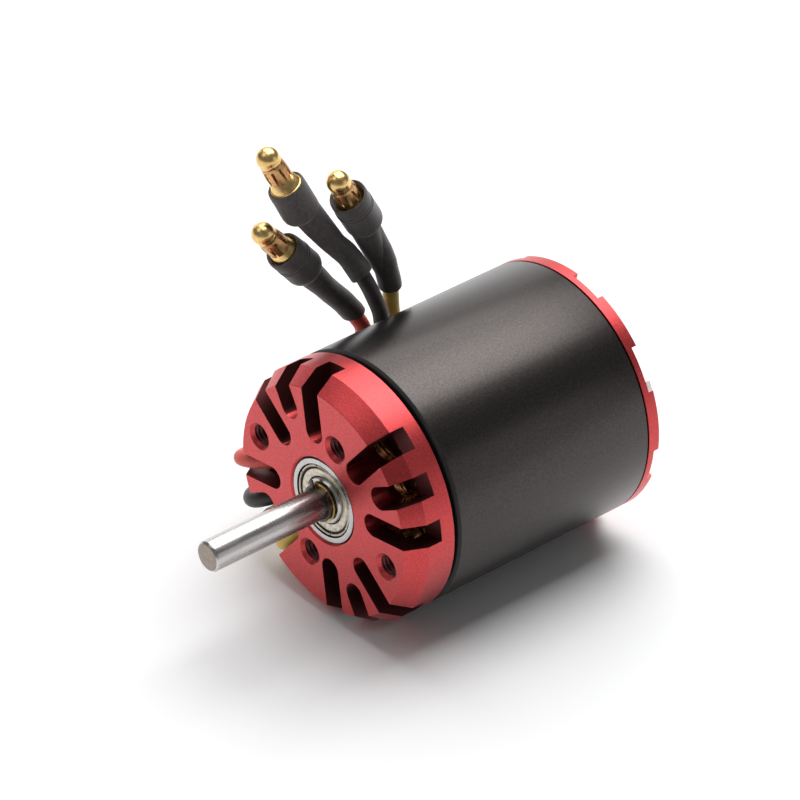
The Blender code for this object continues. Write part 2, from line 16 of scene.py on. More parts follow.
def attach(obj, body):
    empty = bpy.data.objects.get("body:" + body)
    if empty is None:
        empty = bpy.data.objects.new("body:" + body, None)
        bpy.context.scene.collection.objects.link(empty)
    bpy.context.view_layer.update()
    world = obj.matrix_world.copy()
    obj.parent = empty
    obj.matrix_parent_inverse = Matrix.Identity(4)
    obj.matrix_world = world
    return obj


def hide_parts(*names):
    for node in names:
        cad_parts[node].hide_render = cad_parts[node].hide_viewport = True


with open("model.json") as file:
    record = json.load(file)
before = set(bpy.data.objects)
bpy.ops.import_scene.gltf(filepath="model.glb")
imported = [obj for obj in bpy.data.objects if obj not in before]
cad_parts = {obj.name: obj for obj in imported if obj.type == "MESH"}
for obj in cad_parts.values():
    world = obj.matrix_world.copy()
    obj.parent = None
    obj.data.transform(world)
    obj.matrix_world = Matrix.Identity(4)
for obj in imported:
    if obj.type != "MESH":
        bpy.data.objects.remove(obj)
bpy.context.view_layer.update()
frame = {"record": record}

MM = 0.001

# ---- front mount ----
FACE_RADIUS = 18.9
SHOULDER_BACK = 3.2
FLANGE_BACK = 8.3
SPIGOT_RADIUS = 18.9
SPIGOT_BACK = 10.0
CAVITY_RADIUS = 17.2
PLATE_BACK = 3.2
TUBE_RADIUS = 8.6
TUBE_BORE = 5.2
TUBE_BACK = 46.0
SEAT_RADIUS = 7.12
SEAT_CHAMFER = 0.35
STOP_GAP = 0.05
SLOT_WIDTH = 3.8
SLOT_FLOOR = 5.8
SLOT_GROUP_ANGLE = 29.3
SLOT_SPREAD = 20.8
SLOT_TIP_LONG = 10.0
SLOT_TIP_SHORT = 13.4
HOLES = ((15.45, 164.3), (15.45, -15.7), (11.42, 74.3), (11.42, 254.3))
HOLE_CHAMFER = 2.25
THREAD_MINOR = 1.62
THREAD_MAJOR = 2.0
THREAD_PITCH = 0.7
THREAD_OVERRUN = 1.3

# ---- bearings ----
BEARING_RADIUS = 7.0
BEARING_WIDTH = 4.7
BEARING_FRONTS = {"front": 0.15, "rear": 40.9}
OUTER_RACE = 5.85
INNER_RACE = 3.65
RACE_GROOVE = 0.92
BALL_RADIUS = 0.85
BALL_PITCH = 4.75
BALL_COUNT = 7
# a shield's pressed sheet, as (radius, depth), and the radii of its bright rings; the rest of the
# sheet gets a dark painted shade
SHIELD_PROFILE = (
    (3.95, 0.62), (3.93, 0.44), (3.98, 0.34), (4.08, 0.30), (5.02, 0.27), (5.14, 0.31),
    (5.24, 0.46), (5.34, 0.52), (5.44, 0.46), (5.54, 0.24), (5.64, 0.14), (5.76, 0.12),
    (5.88, 0.18), (5.94, 0.32), (5.94, 0.58), (5.5, 0.66), (5.1, 0.6), (4.15, 0.54), (4.07, 0.62),
)
SHIELD_BRIGHT = ((4.02, 5.19), (5.49, 5.89))
SHIELD_NICKS = 8

# ---- stator ----
TOOTH_COUNT = 12
CORE_FRONT = 11.5
CORE_BACK = 40.5
CORE_BORE = 8.9
CORE_SHEETS = 20
SHEET_GAP = 0.06
STACK_BORE = 8.65
YOKE_RADIUS = 10.6
TOOTH_HALF_WIDTH = 1.3
SHOE_INNER = 15.9
CORE_RADIUS = 16.4
SHOE_HALF_ANGLE = 13.0
SHOE_STEPS = 4
INSULATOR_SHEET = 0.7
INSULATOR_GAP = 0.3
INSULATOR_BORE = 8.7
INSULATOR_HALF_ANGLE = 11.0
COIL_WIRE = 0.27
COIL_TURN = 0.56
COIL_LAYERS = (11.25, 11.25, 12.6, 13.8)  # where each layer starts, out from the axis
COIL_REACH = 14.65
STRANDS = 9
STRAND_LANES = 3
STRAND_RADIUS = 0.21
STRAND_INNER = 10.3
STRAND_FRONT = 6.7
STRAND_HALF_ANGLE = 17.0

# ---- rotor ----
CAN_RADIUS = 21.0
CAN_BORE = 19.4
CAN_FRONT = 9.3
CAN_BACK = 47.7
CAN_CHAMFER = 0.45
BODY_LENGTH = 50.1
MAGNET_COUNT = 14
MAGNET_RADII = (17.0, 19.1)
MAGNET_ANGLE = 22.0
MAGNET_SPAN = (11.0, 41.5)
BELL_SPIGOT = (17.2, 19.1)
BELL_SPIGOT_FRONT = 45.0
BELL_FLANGE = 48.0
BELL_WEB_FRONT = 47.4
BELL_HUB = 6.4
BELL_HUB_FRONT = 45.9
BELL_BORE = 2.53
BELL_NOTCH_FLOOR = 49.1
BELL_NOTCH_WIDTH = 5.8
BELL_NOTCH_ANGLES = (35.3, 77.1)
BELL_WINDOW = (9.2, 16.2)
BELL_WINDOW_WIDTH = 4.8
NICK_ANGLE = 25.3
NICK_WIDTH = 1.65
GRUB_RADIUS = 1.2
GRUB_REACH = (3.0, 5.9)
GRUB_Y = 48.0
GRUB_ANGLES = (35.3, 125.3)
SHAFT_RADIUS = 2.5
SHAFT_FREE = 22.4
SHAFT_BACK = 49.8
SHAFT_CHAMFER = 0.35
SHAFT_FIT = 0.01
CLIP_BORE = 2.52
CLIP_BAND = 3.0
CLIP_LUG = 3.9
CLIP_LUG_ANGLE = 17.0
CLIP_OPENING = 50.0
CLIP_MIDDLE = -97.0
CLIP_SPAN = (-1.02, -0.75)
SHIM_RADIUS = 3.2
SHIM_SPAN = (-0.4, -0.15)

# ---- leads, sleeves and plugs ----
LEAD_RADIUS = 1.3
SLEEVE_RADIUS = 1.9
SLEEVE_START = 0.3
SLEEVE_STEPS = 46
CUP_RADIUS = 3.1
CUP_LENGTH = 6.4
CUP_BORE = 2.68
# each sleeve: how far it stands past the cup, its noise seed, how much its lower end slants
SLEEVES = {"red": (0.9, 3.0, 0.55), "black": (0.32, 17.0, 0.75), "yellow": (2.2, 41.0, 0.2)}
# a sleeve's profile, as steps (radius, place) from the two that make_sleeve names
SLEEVE_LINING = ((0.04, 0.9), (0.06, 0.05))
SLEEVE_END = ((-0.18, 0.0), (-0.02, 0.12))
SHOULDER_FOOT = ((0.05, -0.25), (0.22, 0.1), (0.62, 0.32))
SHOULDER_TOP = ((-0.30, 0.6), (-0.12, 0.95), (-0.03, 1.4), (-0.01, 1.8))
CUP_RIDGE = ((-0.01, -3.35), (0.05, -3.1), (-0.09, -2.9), (-0.05, -2.7), (0.02, -2.52),
             (-0.08, -2.35))
CUP_MOUTH = ((-0.05, -1.9), (-0.04, -1.3), (-0.05, -0.7), (-0.09, -0.25), (-0.15, -0.08),
             (-0.23, 0.0))
CUP_INSIDE = ((0.08, -0.02), (0.0, -0.14), (0.0, -0.6))
CUP_LINING = ((0.0, 0.08), (0.0, -1.0))
# a sleeve's unevenness: the noise's two paces and its height
LUMPS = (1.2, 0.45, 0.07)
CREASES = (1.6, 0.004, 0.025)
PIN_COLLAR = 2.65
PIN_NECK = 1.05
PIN_NOSE = 1.85
PIN_NOSE_CENTRE = 6.1
PIN_RINGS = {"red": 2.1, "black": 1.74, "yellow": 1.74}
CAGE_LEAVES = 9
CAGE_SHARES = (-0.5, -0.33, -0.17, 0.0, 0.17, 0.33)  # where a leaf's columns stand, in leaves
CAGE_SPAN = (1.06, 4.96)
CAGE_RADIUS = 1.77

# The leads' routes, as in the CAD model: from the coils to the sleeve, then under it to its mouth.
LEADS = {
    "red": (
        ((-13.2, 6.1, -2.0), (-15.2, 4.2, -2.2), (-17.1, 2.5, -2.5), (-19.0, 1.5, -2.9),
         (-20.7, 1.4, -3.4), (-22.0, 2.4, -4.3), (-22.8, 4.3, -5.0), (-23.2, 7.1, -5.1),
         (-23.7, 13.2, -4.3), (-24.4, 21.0, -1.4), (-25.1, 27.1, 1.8), (-25.4, 29.8, 5.4)),
        ((-25.7, 28.2, 9.2), (-25.9, 26.2, 12.2), (-26.3, 23.2, 15.8), (-26.2, 19.5, 20.4),
         (-26.6, 17.5, 22.9), (-26.9, 15.5, 25.3)),
    ),
    "black": (
        ((-12.6, 6.2, -7.1), (-14.2, 4.3, -8.0), (-15.9, 2.6, -8.8), (-17.6, 1.7, -9.7),
         (-19.1, 1.8, -10.4), (-20.5, 2.9, -11.0), (-21.3, 4.7, -11.3), (-21.6, 7.2, -11.1),
         (-22.0, 13.5, -9.8), (-22.8, 21.0, -6.3), (-23.0, 27.4, -0.8), (-22.6, 30.8, 4.6),
         (-22.4, 30.9, 9.2), (-21.9, 28.9, 14.2)),
        ((-21.8, 26.7, 18.7), (-22.8, 24.5, 23.0), (-24.0, 21.6, 26.7), (-25.6, 18.4, 31.3),
         (-26.3, 17.1, 34.2), (-26.9, 15.8, 37.0)),
    ),
    "yellow": (
        ((-8.7, 6.2, -10.4), (-10.1, 4.7, -12.1), (-11.6, 3.6, -13.9), (-13.0, 3.4, -15.6),
         (-14.3, 4.1, -17.0), (-15.1, 6.0, -17.8), (-15.6, 9.6, -17.6), (-17.6, 16.5, -15.8),
         (-20.8, 24.5, -10.6), (-23.2, 31.0, -3.4), (-24.0, 34.5, 4.0), (-23.6, 34.0, 9.8)),
        ((-22.8, 33.1, 13.8), (-22.4, 32.1, 17.2), (-22.3, 31.0, 20.9), (-22.7, 28.3, 26.9),
         (-22.5, 26.7, 29.7), (-22.3, 25.1, 32.4)),
    ),
}

AXIS_PLACE = Vector((0.0, (SHAFT_FREE - BODY_LENGTH) / 2, CAN_RADIUS)) * MM
AXIS = Matrix.Translation(AXIS_PLACE) @ Matrix.Scale(MM, 4)

# ---- mesh density ----
FINEST = 256
FINE = 192
MEDIUM = 96
SLEEVE_SIDES = 64
SMALL = 48
PATH_STEPS = 12

# ---- camera and light ----
CAMERA_PLACE = (0.52528, -0.44996, 0.49713)
CAMERA_AZIMUTH = 49.31
CAMERA_ELEVATION = 33.84
CAMERA_LENS = 247.5
CAMERA_CLIP = (0.05, 50.0)
# softboxes: middle (m), the way each faces, its two sides (m) and its brightness
SOFTBOXES = {
    "overhead": ((-0.05, 0.5, 1.0), (0, 0, -1), (0.65, 1.3), 4.2),
    "side": ((-0.79, 0.65, 1.0), (0, 0, -1), (0.83, 1.5), 2.6),
    "left": ((-1.4, 0.7, 0.45), (1, 0, 0), (1.8, 0.9), 1.0),
    "front": ((-0.35, -0.75, 1.0), (0, 0, -1), (0.7, 0.8), 1.1),
    "right": ((1.6, 1.25, 0.45), (-1, 0, 0), (1.6, 0.9), 0.5),
}
WORLD_LIGHT = 0.17
FLOOR_SIDE = 8.0

RECORD = frame["record"]
BODIES = RECORD["behaviour"]["bodies"]
BODY_OF = {name: body for body, members in BODIES.items() for name in members}


def add_object(name, data):
    obj = bpy.data.objects.new(name, data)
    bpy.context.collection.objects.link(obj)
    return obj


def add_aimed(name, data, place, facing):
    """Puts a camera or a light at a place, facing along a direction."""
    obj = add_object(name, data)
    obj.location = place
    obj.rotation_mode = "QUATERNION"
    obj.rotation_quaternion = Vector(facing).to_track_quat("-Z", "Y")
    return obj


def make_camera():
    data = bpy.data.cameras.new("camera")
    data.lens = CAMERA_LENS
    data.clip_start, data.clip_end = CAMERA_CLIP
    a, e = radians(CAMERA_AZIMUTH), radians(CAMERA_ELEVATION)
    facing = (-sin(a) * cos(e), cos(a) * cos(e), -sin(e))
    bpy.context.scene.camera = add_aimed("camera", data, CAMERA_PLACE, facing)


def make_studio():
    world = bpy.data.worlds.new("studio")
    bpy.context.scene.world = world
    world.use_nodes = True
    sky = world.node_tree.nodes["Background"]
    sky.inputs["Color"].default_value = (1, 1, 1, 1)
    sky.inputs["Strength"].default_value = WORLD_LIGHT
    for name, (middle, facing, sides, brightness) in SOFTBOXES.items():
        data = bpy.data.lights.new(name, "AREA")
        data.shape = "RECTANGLE"
        data.size, data.size_y = sides
        data.energy = brightness * pi * sides[0] * sides[1]
        add_aimed(name, data, middle, facing)
    bpy.context.scene.view_settings.view_transform = "Standard"


def make_floor():
    bm = bmesh.new()
    bmesh.ops.create_grid(bm, x_segments=4, y_segments=4, size=FLOOR_SIDE / 2)
    floor = add_mesh("floor", bm)
    floor.data.materials.append(
        finish("paper", (0.93, 0.935, 0.94), 0.7, mottle=(60.0, 0.004), grain=(0.8, 0.004)))


# ---- materials ----
MOTTLE_RANGE = (0.3, 0.7)  # the part of the noise that the colour runs over
WAVE_PERIOD = 1 / 3.14  # of a wave texture at a scale of 1, about 2 pi / 20
# the colour that the painted shade multiplies in
SHADE_TINT = (0.30, 0.26, 0.25, 1.0)
# the mix node's sockets for colours, which share their names with others
MIX_FACTOR, MIX_FIRST, MIX_SECOND, MIX_RESULT = 0, 6, 7, 2


def node(tree, kind, values=None, **settings):
    made = tree.nodes.new(kind)
    for key, value in settings.items():
        setattr(made, key, value)
    for key, value in (values or {}).items():
        made.inputs[key].default_value = value
    return made


def link(tree, source, output, target, name):
    tree.links.new(source.outputs[output], target.inputs[name])


def find(tree, kind):
    return next(n for n in tree.nodes if n.bl_idname == kind)


def shaded(colour, share):
    return (*(min(1.0, channel * share) for channel in colour), 1.0)


def finish(name, colour, roughness, metallic=0.0, *, mottle, grain, stretch=(1.0, 1.0, 1.0),
           uneven=0.08, tint=None, **shader_values):
    """A procedural finish. mottle is the size in mm and the share by which the colour varies,
    towards tint if there is one, grain the size and the height of the fine relief, stretch the
    shape of both, uneven how much the roughness varies."""
    mat = bpy.data.materials.new(name)
    mat.use_nodes = True
    tree = mat.node_tree
    shader = tree.nodes["Principled BSDF"]
    shader.inputs["Metallic"].default_value = metallic
    for key, value in shader_values.items():
        shader.inputs[key.replace("_", " ")].default_value = value
    place = node(tree, "ShaderNodeTexCoord")
    warp = node(tree, "ShaderNodeMapping", {"Scale": stretch})
    link(tree, place, "Object", warp, "Vector")

    size, vary = mottle
    patches = node(tree, "ShaderNodeTexNoise", {"Scale": 1.0 / (size * MM), "Detail": 3.0})
    link(tree, warp, "Vector", patches, "Vector")
    ramp = node(tree, "ShaderNodeValToRGB")
    low, high = ramp.color_ramp.elements
    low.position, high.position = MOTTLE_RANGE
    low.color = shaded(colour, 1 - vary)
    high.color = shaded(tint or colour, 1 + vary)
    link(tree, patches, "Fac", ramp, "Fac")
    link(tree, ramp, "Color", shader, "Base Color")

    size, height = grain
    relief = node(tree, "ShaderNodeTexNoise", {"Scale": 1.0 / (size * MM), "Detail": 2.0})
    link(tree, warp, "Vector", relief, "Vector")
    bump = node(tree, "ShaderNodeBump", {"Strength": 1.0, "Distance": height * MM})
    link(tree, relief, "Fac", bump, "Height")
    link(tree, bump, "Normal", shader, "Normal")
    spread = node(tree, "ShaderNodeMapRange",
                  {"To Min": roughness - uneven, "To Max": roughness + uneven})
    link(tree, patches, "Fac", spread, "Value")
    link(tree, spread, "Result", shader, "Roughness")
    return mat


def add_rings(mat, pitch, height):
    """Turning marks round the motor's axis, laid over a finish's own relief."""
    tree = mat.node_tree
    centred = node(tree, "ShaderNodeMapping", {"Location": -AXIS_PLACE})
    link(tree, find(tree, "ShaderNodeTexCoord"), "Object", centred, "Vector")
    own_relief = find(tree, "ShaderNodeBump")
    rings = node(tree, "ShaderNodeTexWave",
                 {"Scale": WAVE_PERIOD / (pitch * MM), "Distortion": 0.6, "Detail": 2.0},
                 wave_type="RINGS", rings_direction="Y")
    link(tree, centred, "Vector", rings, "Vector")
    marks = node(tree, "ShaderNodeBump", {"Strength": 1.0, "Distance": height * MM})
    link(tree, rings, "Fac", marks, "Height")
    link(tree, own_relief, "Normal", marks, "Normal")
    link(tree, marks, "Normal", tree.nodes["Principled BSDF"], "Normal")
    return mat


def add_painted_shade(mat, shade_from, shade_to, share):
    """Painted shade darkening a finish along the motor's axis, from none at the first height y (mm)
    to its full share at the second.
    """
    tree = mat.node_tree
    parts = node(tree, "ShaderNodeSeparateXYZ")
    link(tree, find(tree, "ShaderNodeTexCoord"), "Object", parts, "Vector")
    amount = node(tree, "ShaderNodeMapRange", {"From Min": AXIS_PLACE.y + shade_from * MM,
                                               "From Max": AXIS_PLACE.y + shade_to * MM,
                                               "To Min": 0.0, "To Max": share})
    link(tree, parts, "Y", amount, "Value")
    darkened = node(tree, "ShaderNodeMix", {MIX_SECOND: SHADE_TINT}, data_type="RGBA",
                 blend_type="MULTIPLY")
    link(tree, amount, "Result", darkened, MIX_FACTOR)
    link(tree, find(tree, "ShaderNodeValToRGB"), "Color", darkened, MIX_FIRST)
    link(tree, darkened, MIX_RESULT, tree.nodes["Principled BSDF"], "Base Color")
    return mat


FINISHES = {
    "red": finish(
        "red_anodised_blasted", (0.57, 0.053, 0.056), 0.4, 1.0, mottle=(0.26, 0.21),
        grain=(0.2, 0.02), uneven=0.05, Coat_Weight=0.4, Coat_Roughness=0.35),
    # painted shade: a darker copy of the red anodising, for slot walls, slot floors and the threads
    # in the holes
    "red_painted_shade": finish(
        "red_anodised_painted_shade", (0.13, 0.026, 0.026), 0.48, 1.0, mottle=(0.22, 0.15),
        grain=(0.14, 0.01), Coat_Weight=0.5, Coat_Roughness=0.4),
    # painted shade: a near-black finish for the shadow in the gap between the mount's flange and
    # the can, put on the mount's spigot and the can's front edge
    "gap": finish(
        "painted_shade_black", (0.012, 0.011, 0.011), 0.6, mottle=(1.0, 0.2), grain=(0.3, 0.004)),
    "black": finish(
        "satin_black_can", (0.067, 0.06, 0.0575), 0.3, 1.0, mottle=(0.3, 0.2),
        grain=(0.17, 0.007), uneven=0.04),
    # the shaft's steel, with painted shade darkening it towards the mount's face
    "steel": add_painted_shade(finish(
        "ground_steel_shaft", (0.58, 0.555, 0.545), 0.27, 1.0, mottle=(0.6, 0.09),
        grain=(0.12, 0.0008), stretch=(1.0, 0.12, 1.0)), shade_from=-9.0, shade_to=-1.5, share=0.8),
    "bearing": add_rings(finish(
        "ring_steel", (0.52, 0.515, 0.51), 0.22, 1.0, mottle=(0.8, 0.06),
        grain=(0.15, 0.001)), pitch=0.12, height=0.002),
    # painted reflection: a darker, browner copy of the shaft's steel for its end faces
    "steel_end": finish(
        "turned_shaft_end_painted_reflection", (0.33, 0.275, 0.235), 0.42, 1.0, mottle=(0.5, 0.15),
        grain=(0.2, 0.006)),
    # painted shade: dark steel for the recess between the outer race and the shield, and for the
    # shield's lip, groove and rim
    "groove": finish(
        "dark_steel_painted_shade", (0.035, 0.027, 0.022), 0.5, 0.4, mottle=(0.6, 0.3), grain=(0.2, 0.004)),
    "shield": finish(
        "shield_steel_oiled", (0.5, 0.44, 0.35), 0.34, 1.0, mottle=(0.6, 0.18),
        grain=(0.22, 0.006), tint=(0.6, 0.55, 0.46)),
    "black_steel": finish(
        "black_oxide", (0.085, 0.078, 0.072), 0.34, 0.9, mottle=(0.4, 0.25), grain=(0.12, 0.004)),
    "brass": finish(
        "brass", (0.62, 0.43, 0.17), 0.3, 1.0, mottle=(0.5, 0.15), grain=(0.15, 0.003)),
    "lamination": finish(
        "laminated_steel", (0.2, 0.2, 0.21), 0.42, 0.9, mottle=(0.5, 0.25), grain=(0.35, 0.02),
        stretch=(0.02, 1.0, 0.02)),
    "insulator": finish(
        "insulator_coating", (0.16, 0.075, 0.04), 0.5, mottle=(1.2, 0.2), grain=(0.4, 0.02)),
    "copper": finish(
        "enamelled_copper", (0.42, 0.15, 0.055), 0.28, 0.85, mottle=(1.0, 0.25), grain=(0.3, 0.003),
        tint=(0.5, 0.22, 0.08), Coat_Weight=0.5),
    "magnet": finish(
        "nickel_plating", (0.52, 0.52, 0.5), 0.24, 1.0, mottle=(1.5, 0.08), grain=(0.2, 0.003)),
    "gold": finish(
        "gold_plating", (0.8, 0.53, 0.19), 0.27, 1.0, mottle=(0.7, 0.1), grain=(0.18, 0.003),
        tint=(0.86, 0.6, 0.26)),
    "gold_dark": finish(
        "gold_plated_brass_worn", (0.66, 0.38, 0.17), 0.36, 1.0, mottle=(0.5, 0.2),
        grain=(0.15, 0.004)),
    "sleeve": finish(
        "matt_heat_shrink", (0.064, 0.054, 0.054), 0.66, mottle=(0.5, 0.34), grain=(0.2, 0.016),
        Sheen_Weight=0.35, Sheen_Roughness=0.5),
    "wire_red": finish(
        "red_silicone", (0.74, 0.115, 0.095), 0.5, mottle=(1.5, 0.1), grain=(0.3, 0.003),
        Subsurface_Weight=0.1, Subsurface_Scale=0.001),
    "wire_black": finish(
        "black_silicone", (0.04, 0.034, 0.034), 0.5, mottle=(1.5, 0.15), grain=(0.3, 0.003),
        Sheen_Weight=0.2),
    "wire_yellow": finish(
        "yellow_silicone", (1.0, 0.69, 0.15), 0.45, mottle=(1.5, 0.08), grain=(0.3, 0.003),
        Subsurface_Weight=0.1, Subsurface_Scale=0.001),
    "bare": finish(
        "bare_aluminium", (0.9, 0.84, 0.83), 0.4, 0.35, mottle=(0.3, 0.1), grain=(0.1, 0.006)),
}


# ---- mesh helpers ----
EASE_LIMIT = 0.4  # the share of a side that a rounded corner may take


def polar(radius, angle):
    turn = radians(angle)
    return radius * cos(turn), radius * sin(turn)


def straight(radius, angle, y):
    """A point at an angle round the axis."""
    x, z = polar(radius, angle)
    return Vector((x, y, z))


def pairs(loop):
    return zip(loop, loop[1:] + loop[:1])


def from_axis(point):
    return hypot(point.x, point.z)


def turn_out(angle):
    """Turns a shape that points along +x to an angle round the axis."""
    return Matrix.Rotation(-radians(angle), 4, "Y")


def lathe(profile, segments=FINE, spot=straight):
    """A closed profile of (radius, y) turned round the axis; spot may bend it along a path."""
    bm = bmesh.new()
    rings = []
    for radius, y in profile:
        if radius == 0:
            rings.append([bm.verts.new(spot(0, 0, y))])
        else:
            rings.append([bm.verts.new(spot(radius, 360 * i / segments, y))
                          for i in range(segments)])
    for ring, following in pairs(rings):
        if len(ring) == 1 and len(following) == 1:
            continue
        for i in range(segments):
            j = (i + 1) % segments
            corners = [ring[0]] if len(ring) == 1 else [ring[i], ring[j]]
            corners += [following[0]] if len(following) == 1 else [following[j], following[i]]
            bm.faces.new(corners)
    return bm


def eased(profile, ease, steps=3):
    """The closed profile with each corner off the axis rounded over."""
    made = []
    neighbours = zip(profile[-1:] + profile[:-1], profile, profile[1:] + profile[:1])
    for before, here, after in neighbours:
        if here[0] == 0:
            made.append(here)
            continue
        corner = Vector(here)
        back, on = Vector(before) - corner, Vector(after) - corner
        start = corner + back.normalized() * min(ease, back.length * EASE_LIMIT)
        end = corner + on.normalized() * min(ease, on.length * EASE_LIMIT)
        for i in range(steps):
            t = i / (steps - 1)
            made.append(tuple((1 - t) ** 2 * start + 2 * t * (1 - t) * corner + t ** 2 * end))
    return made


def prism(bm, outline, front, back, turn=0.0):
    """An outline of (out, across) points, turned by an angle round the axis and extruded."""
    spin = turn_out(turn)
    near = [bm.verts.new(spin @ Vector((a, front, b))) for a, b in outline]
    far = [bm.verts.new(spin @ Vector((a, back, b))) for a, b in outline]
    bm.faces.new(near)
    bm.faces.new(list(reversed(far)))
    for i in range(len(outline)):
        j = (i + 1) % len(outline)
        bm.faces.new((near[i], far[i], far[j], near[j]))


def slot_outline(tip, width, reach, sides=20):
    """A slot's outline, from its round end at tip to its open end at reach."""
    half = width / 2
    points = [(reach, -half), (reach, half)]
    for i in range(sides + 1):
        turn = pi / 2 + pi * i / sides
        points.append((tip + half + half * cos(turn), half * sin(turn)))
    return points


def box(bm, centre, size, turn):
    """A box of size (out, y, across), turned by an angle round the axis."""
    place = turn_out(turn) @ Matrix.Translation(centre)
    bmesh.ops.create_cube(bm, size=1.0, matrix=place @ Matrix.Diagonal((*size, 1.0)))


def merge(target, extra, matrix=Matrix.Identity(4)):
    extra.transform(matrix)
    mesh = bpy.data.meshes.new("merge")
    extra.to_mesh(mesh)
    extra.free()
    target.from_mesh(mesh)
    bpy.data.meshes.remove(mesh)


def add_mesh(name, bm):
    mesh = bpy.data.meshes.new(name)
    bm.to_mesh(mesh)
    bm.free()
    return add_object(name, mesh)


def carve(bm, *tools):
    """The solid with each tool cut from it."""
    solids = []
    for solid in (bm, *tools):
        bmesh.ops.recalc_face_normals(solid, faces=solid.faces)
        solids.append(add_mesh("work", solid))
    target = solids[0]
    for tool in solids[1:]:
        mod = target.modifiers.new("carve", "BOOLEAN")
        mod.operation = "DIFFERENCE"
        mod.solver = "EXACT"
        mod.object = tool
    bpy.context.view_layer.update()
    graph = bpy.context.evaluated_depsgraph_get()
    result = bpy.data.meshes.new_from_object(target.evaluated_get(graph))
    made = bmesh.new()
    made.from_mesh(result)
    bpy.data.meshes.remove(result)
    for obj in solids:
        mesh = obj.data
        bpy.data.objects.remove(obj)
        bpy.data.meshes.remove(mesh)
    return made


def soften(bm, width, wanted, sharp=35.0):
    """Bevels the edges sharper than an angle whose middle is wanted."""
    bmesh.ops.remove_doubles(bm, verts=bm.verts, dist=0.004)
    edges = []
    for edge in bm.edges:
        if len(edge.link_faces) == 2 and edge.calc_face_angle(0.0) > radians(sharp):
            if wanted((edge.verts[0].co + edge.verts[1].co) / 2):
                edges.append(edge)
    bmesh.ops.bevel(bm, geom=edges, offset=width, offset_type="OFFSET", segments=2, profile=0.6,
                    affect="EDGES", clamp_overlap=True)


def paint(bm, wanted):
    """Gives the faces whose middle is wanted the piece's second finish."""
    for face in bm.faces:
        face.material_index = int(wanted(face.calc_center_median()))


def stand_for(obj, name):
    """The object rides on its CAD node's body and stands for the node, which it hides."""
    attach(obj, BODY_OF[name])
    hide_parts(name)


def piece(name, bm, finishes, node_name, place=None, sharp=32.0, flat=False):
    """Makes a mesh, in mm, the piece that stands for a CAD node. It lies in the axis frame, unless
    a place is given. flat keeps wide flat faces evenly shaded up to their eased edges."""
    bm.transform(AXIS if place is None else Matrix.Scale(MM, 4))
    bmesh.ops.recalc_face_normals(bm, faces=bm.faces)
    obj = add_mesh(name, bm)
    obj.data.shade_smooth()
    obj.data.set_sharp_from_angle(angle=radians(sharp))
    for finish_name in finishes:
        obj.data.materials.append(FINISHES[finish_name])
    if flat:
        obj.modifiers.new("even_normals", "WEIGHTED_NORMAL").keep_sharp = True
    if place is not None:
        obj.matrix_world = place
    stand_for(obj, node_name)
    return obj


# ---- leads ----
def extended(points):
    """The points with one more at each end, in line with the last two there."""
    route = [Vector(p) for p in points]
    return [2 * route[0] - route[1]] + route + [2 * route[-1] - route[-2]]


def smooth_path(points):
    route = extended(points)
    path = []
    for a, b, c, d in zip(route, route[1:], route[2:], route[3:]):
        for i in range(PATH_STEPS):
            t = i / PATH_STEPS
            path.append(0.5 * (2 * b + (c - a) * t + (2 * a - 5 * b + 4 * c - d) * t ** 2
                               + (3 * b - a - 3 * c + d) * t ** 3))
    path.append(route[-2])
    return path


def path_length(path):
    return sum((b - a).length for a, b in zip(path, path[1:]))


class Route:
    """A path with a steady cross direction, to bend a turned shape along."""

    def __init__(self, path):
        self.path = path
        self.places = [0.0]
        for a, b in zip(path, path[1:]):
            self.places.append(self.places[-1] + (b - a).length)
        tangents = [(b - a).normalized() for a, b in zip(path, path[1:])]
        tangents.append(tangents[-1])
        side = Vector((0, 1, 0)).cross(tangents[0]).normalized()
        self.frames = []
        for tangent in tangents:
            side = (side - tangent * side.dot(tangent)).normalized()
            self.frames.append((tangent, side))

    def at(self, place):
        """The point, the direction and the cross direction at a distance from the start."""
        index = 0
        while index < len(self.path) - 2 and self.places[index + 1] < place:
            index += 1
        start, end = self.places[index], self.places[index + 1]
        t = (place - start) / (end - start)
        point = self.path[index].lerp(self.path[index + 1], t)
        (tangent, side), (tangent_2, side_2) = self.frames[index], self.frames[index + 1]
        return point, tangent.lerp(tangent_2, t).normalized(), side.lerp(side_2, t).normalized()


def make_wire(colour, points):
    """The lead from the coils to the connector, on one smooth curve through its route."""
    curve = bpy.data.curves.new(f"lead_{colour}_wire", "CURVE")
    curve.dimensions = "3D"
    curve.bevel_depth = LEAD_RADIUS * MM
    curve.bevel_resolution = 6
    curve.use_fill_caps = True
    curve.resolution_u = 8
    spline = curve.splines.new("BEZIER")
    spline.bezier_points.add(len(points) - 1)
    route = extended(points)
    for spot, before, here, after in zip(spline.bezier_points, route, route[1:], route[2:]):
        third = (after - before) / 6
        spot.co = AXIS @ here
        spot.handle_left = AXIS @ (here - third)
        spot.handle_right = AXIS @ (here + third)
    curve.materials.append(FINISHES[f"wire_{colour}"])
    obj = add_object(f"lead_{colour}_wire", curve)
    stand_for(obj, f"lead_{colour}")
    return obj


def shift(steps, radius, place):
    return [(radius + out, place + on) for out, on in steps]


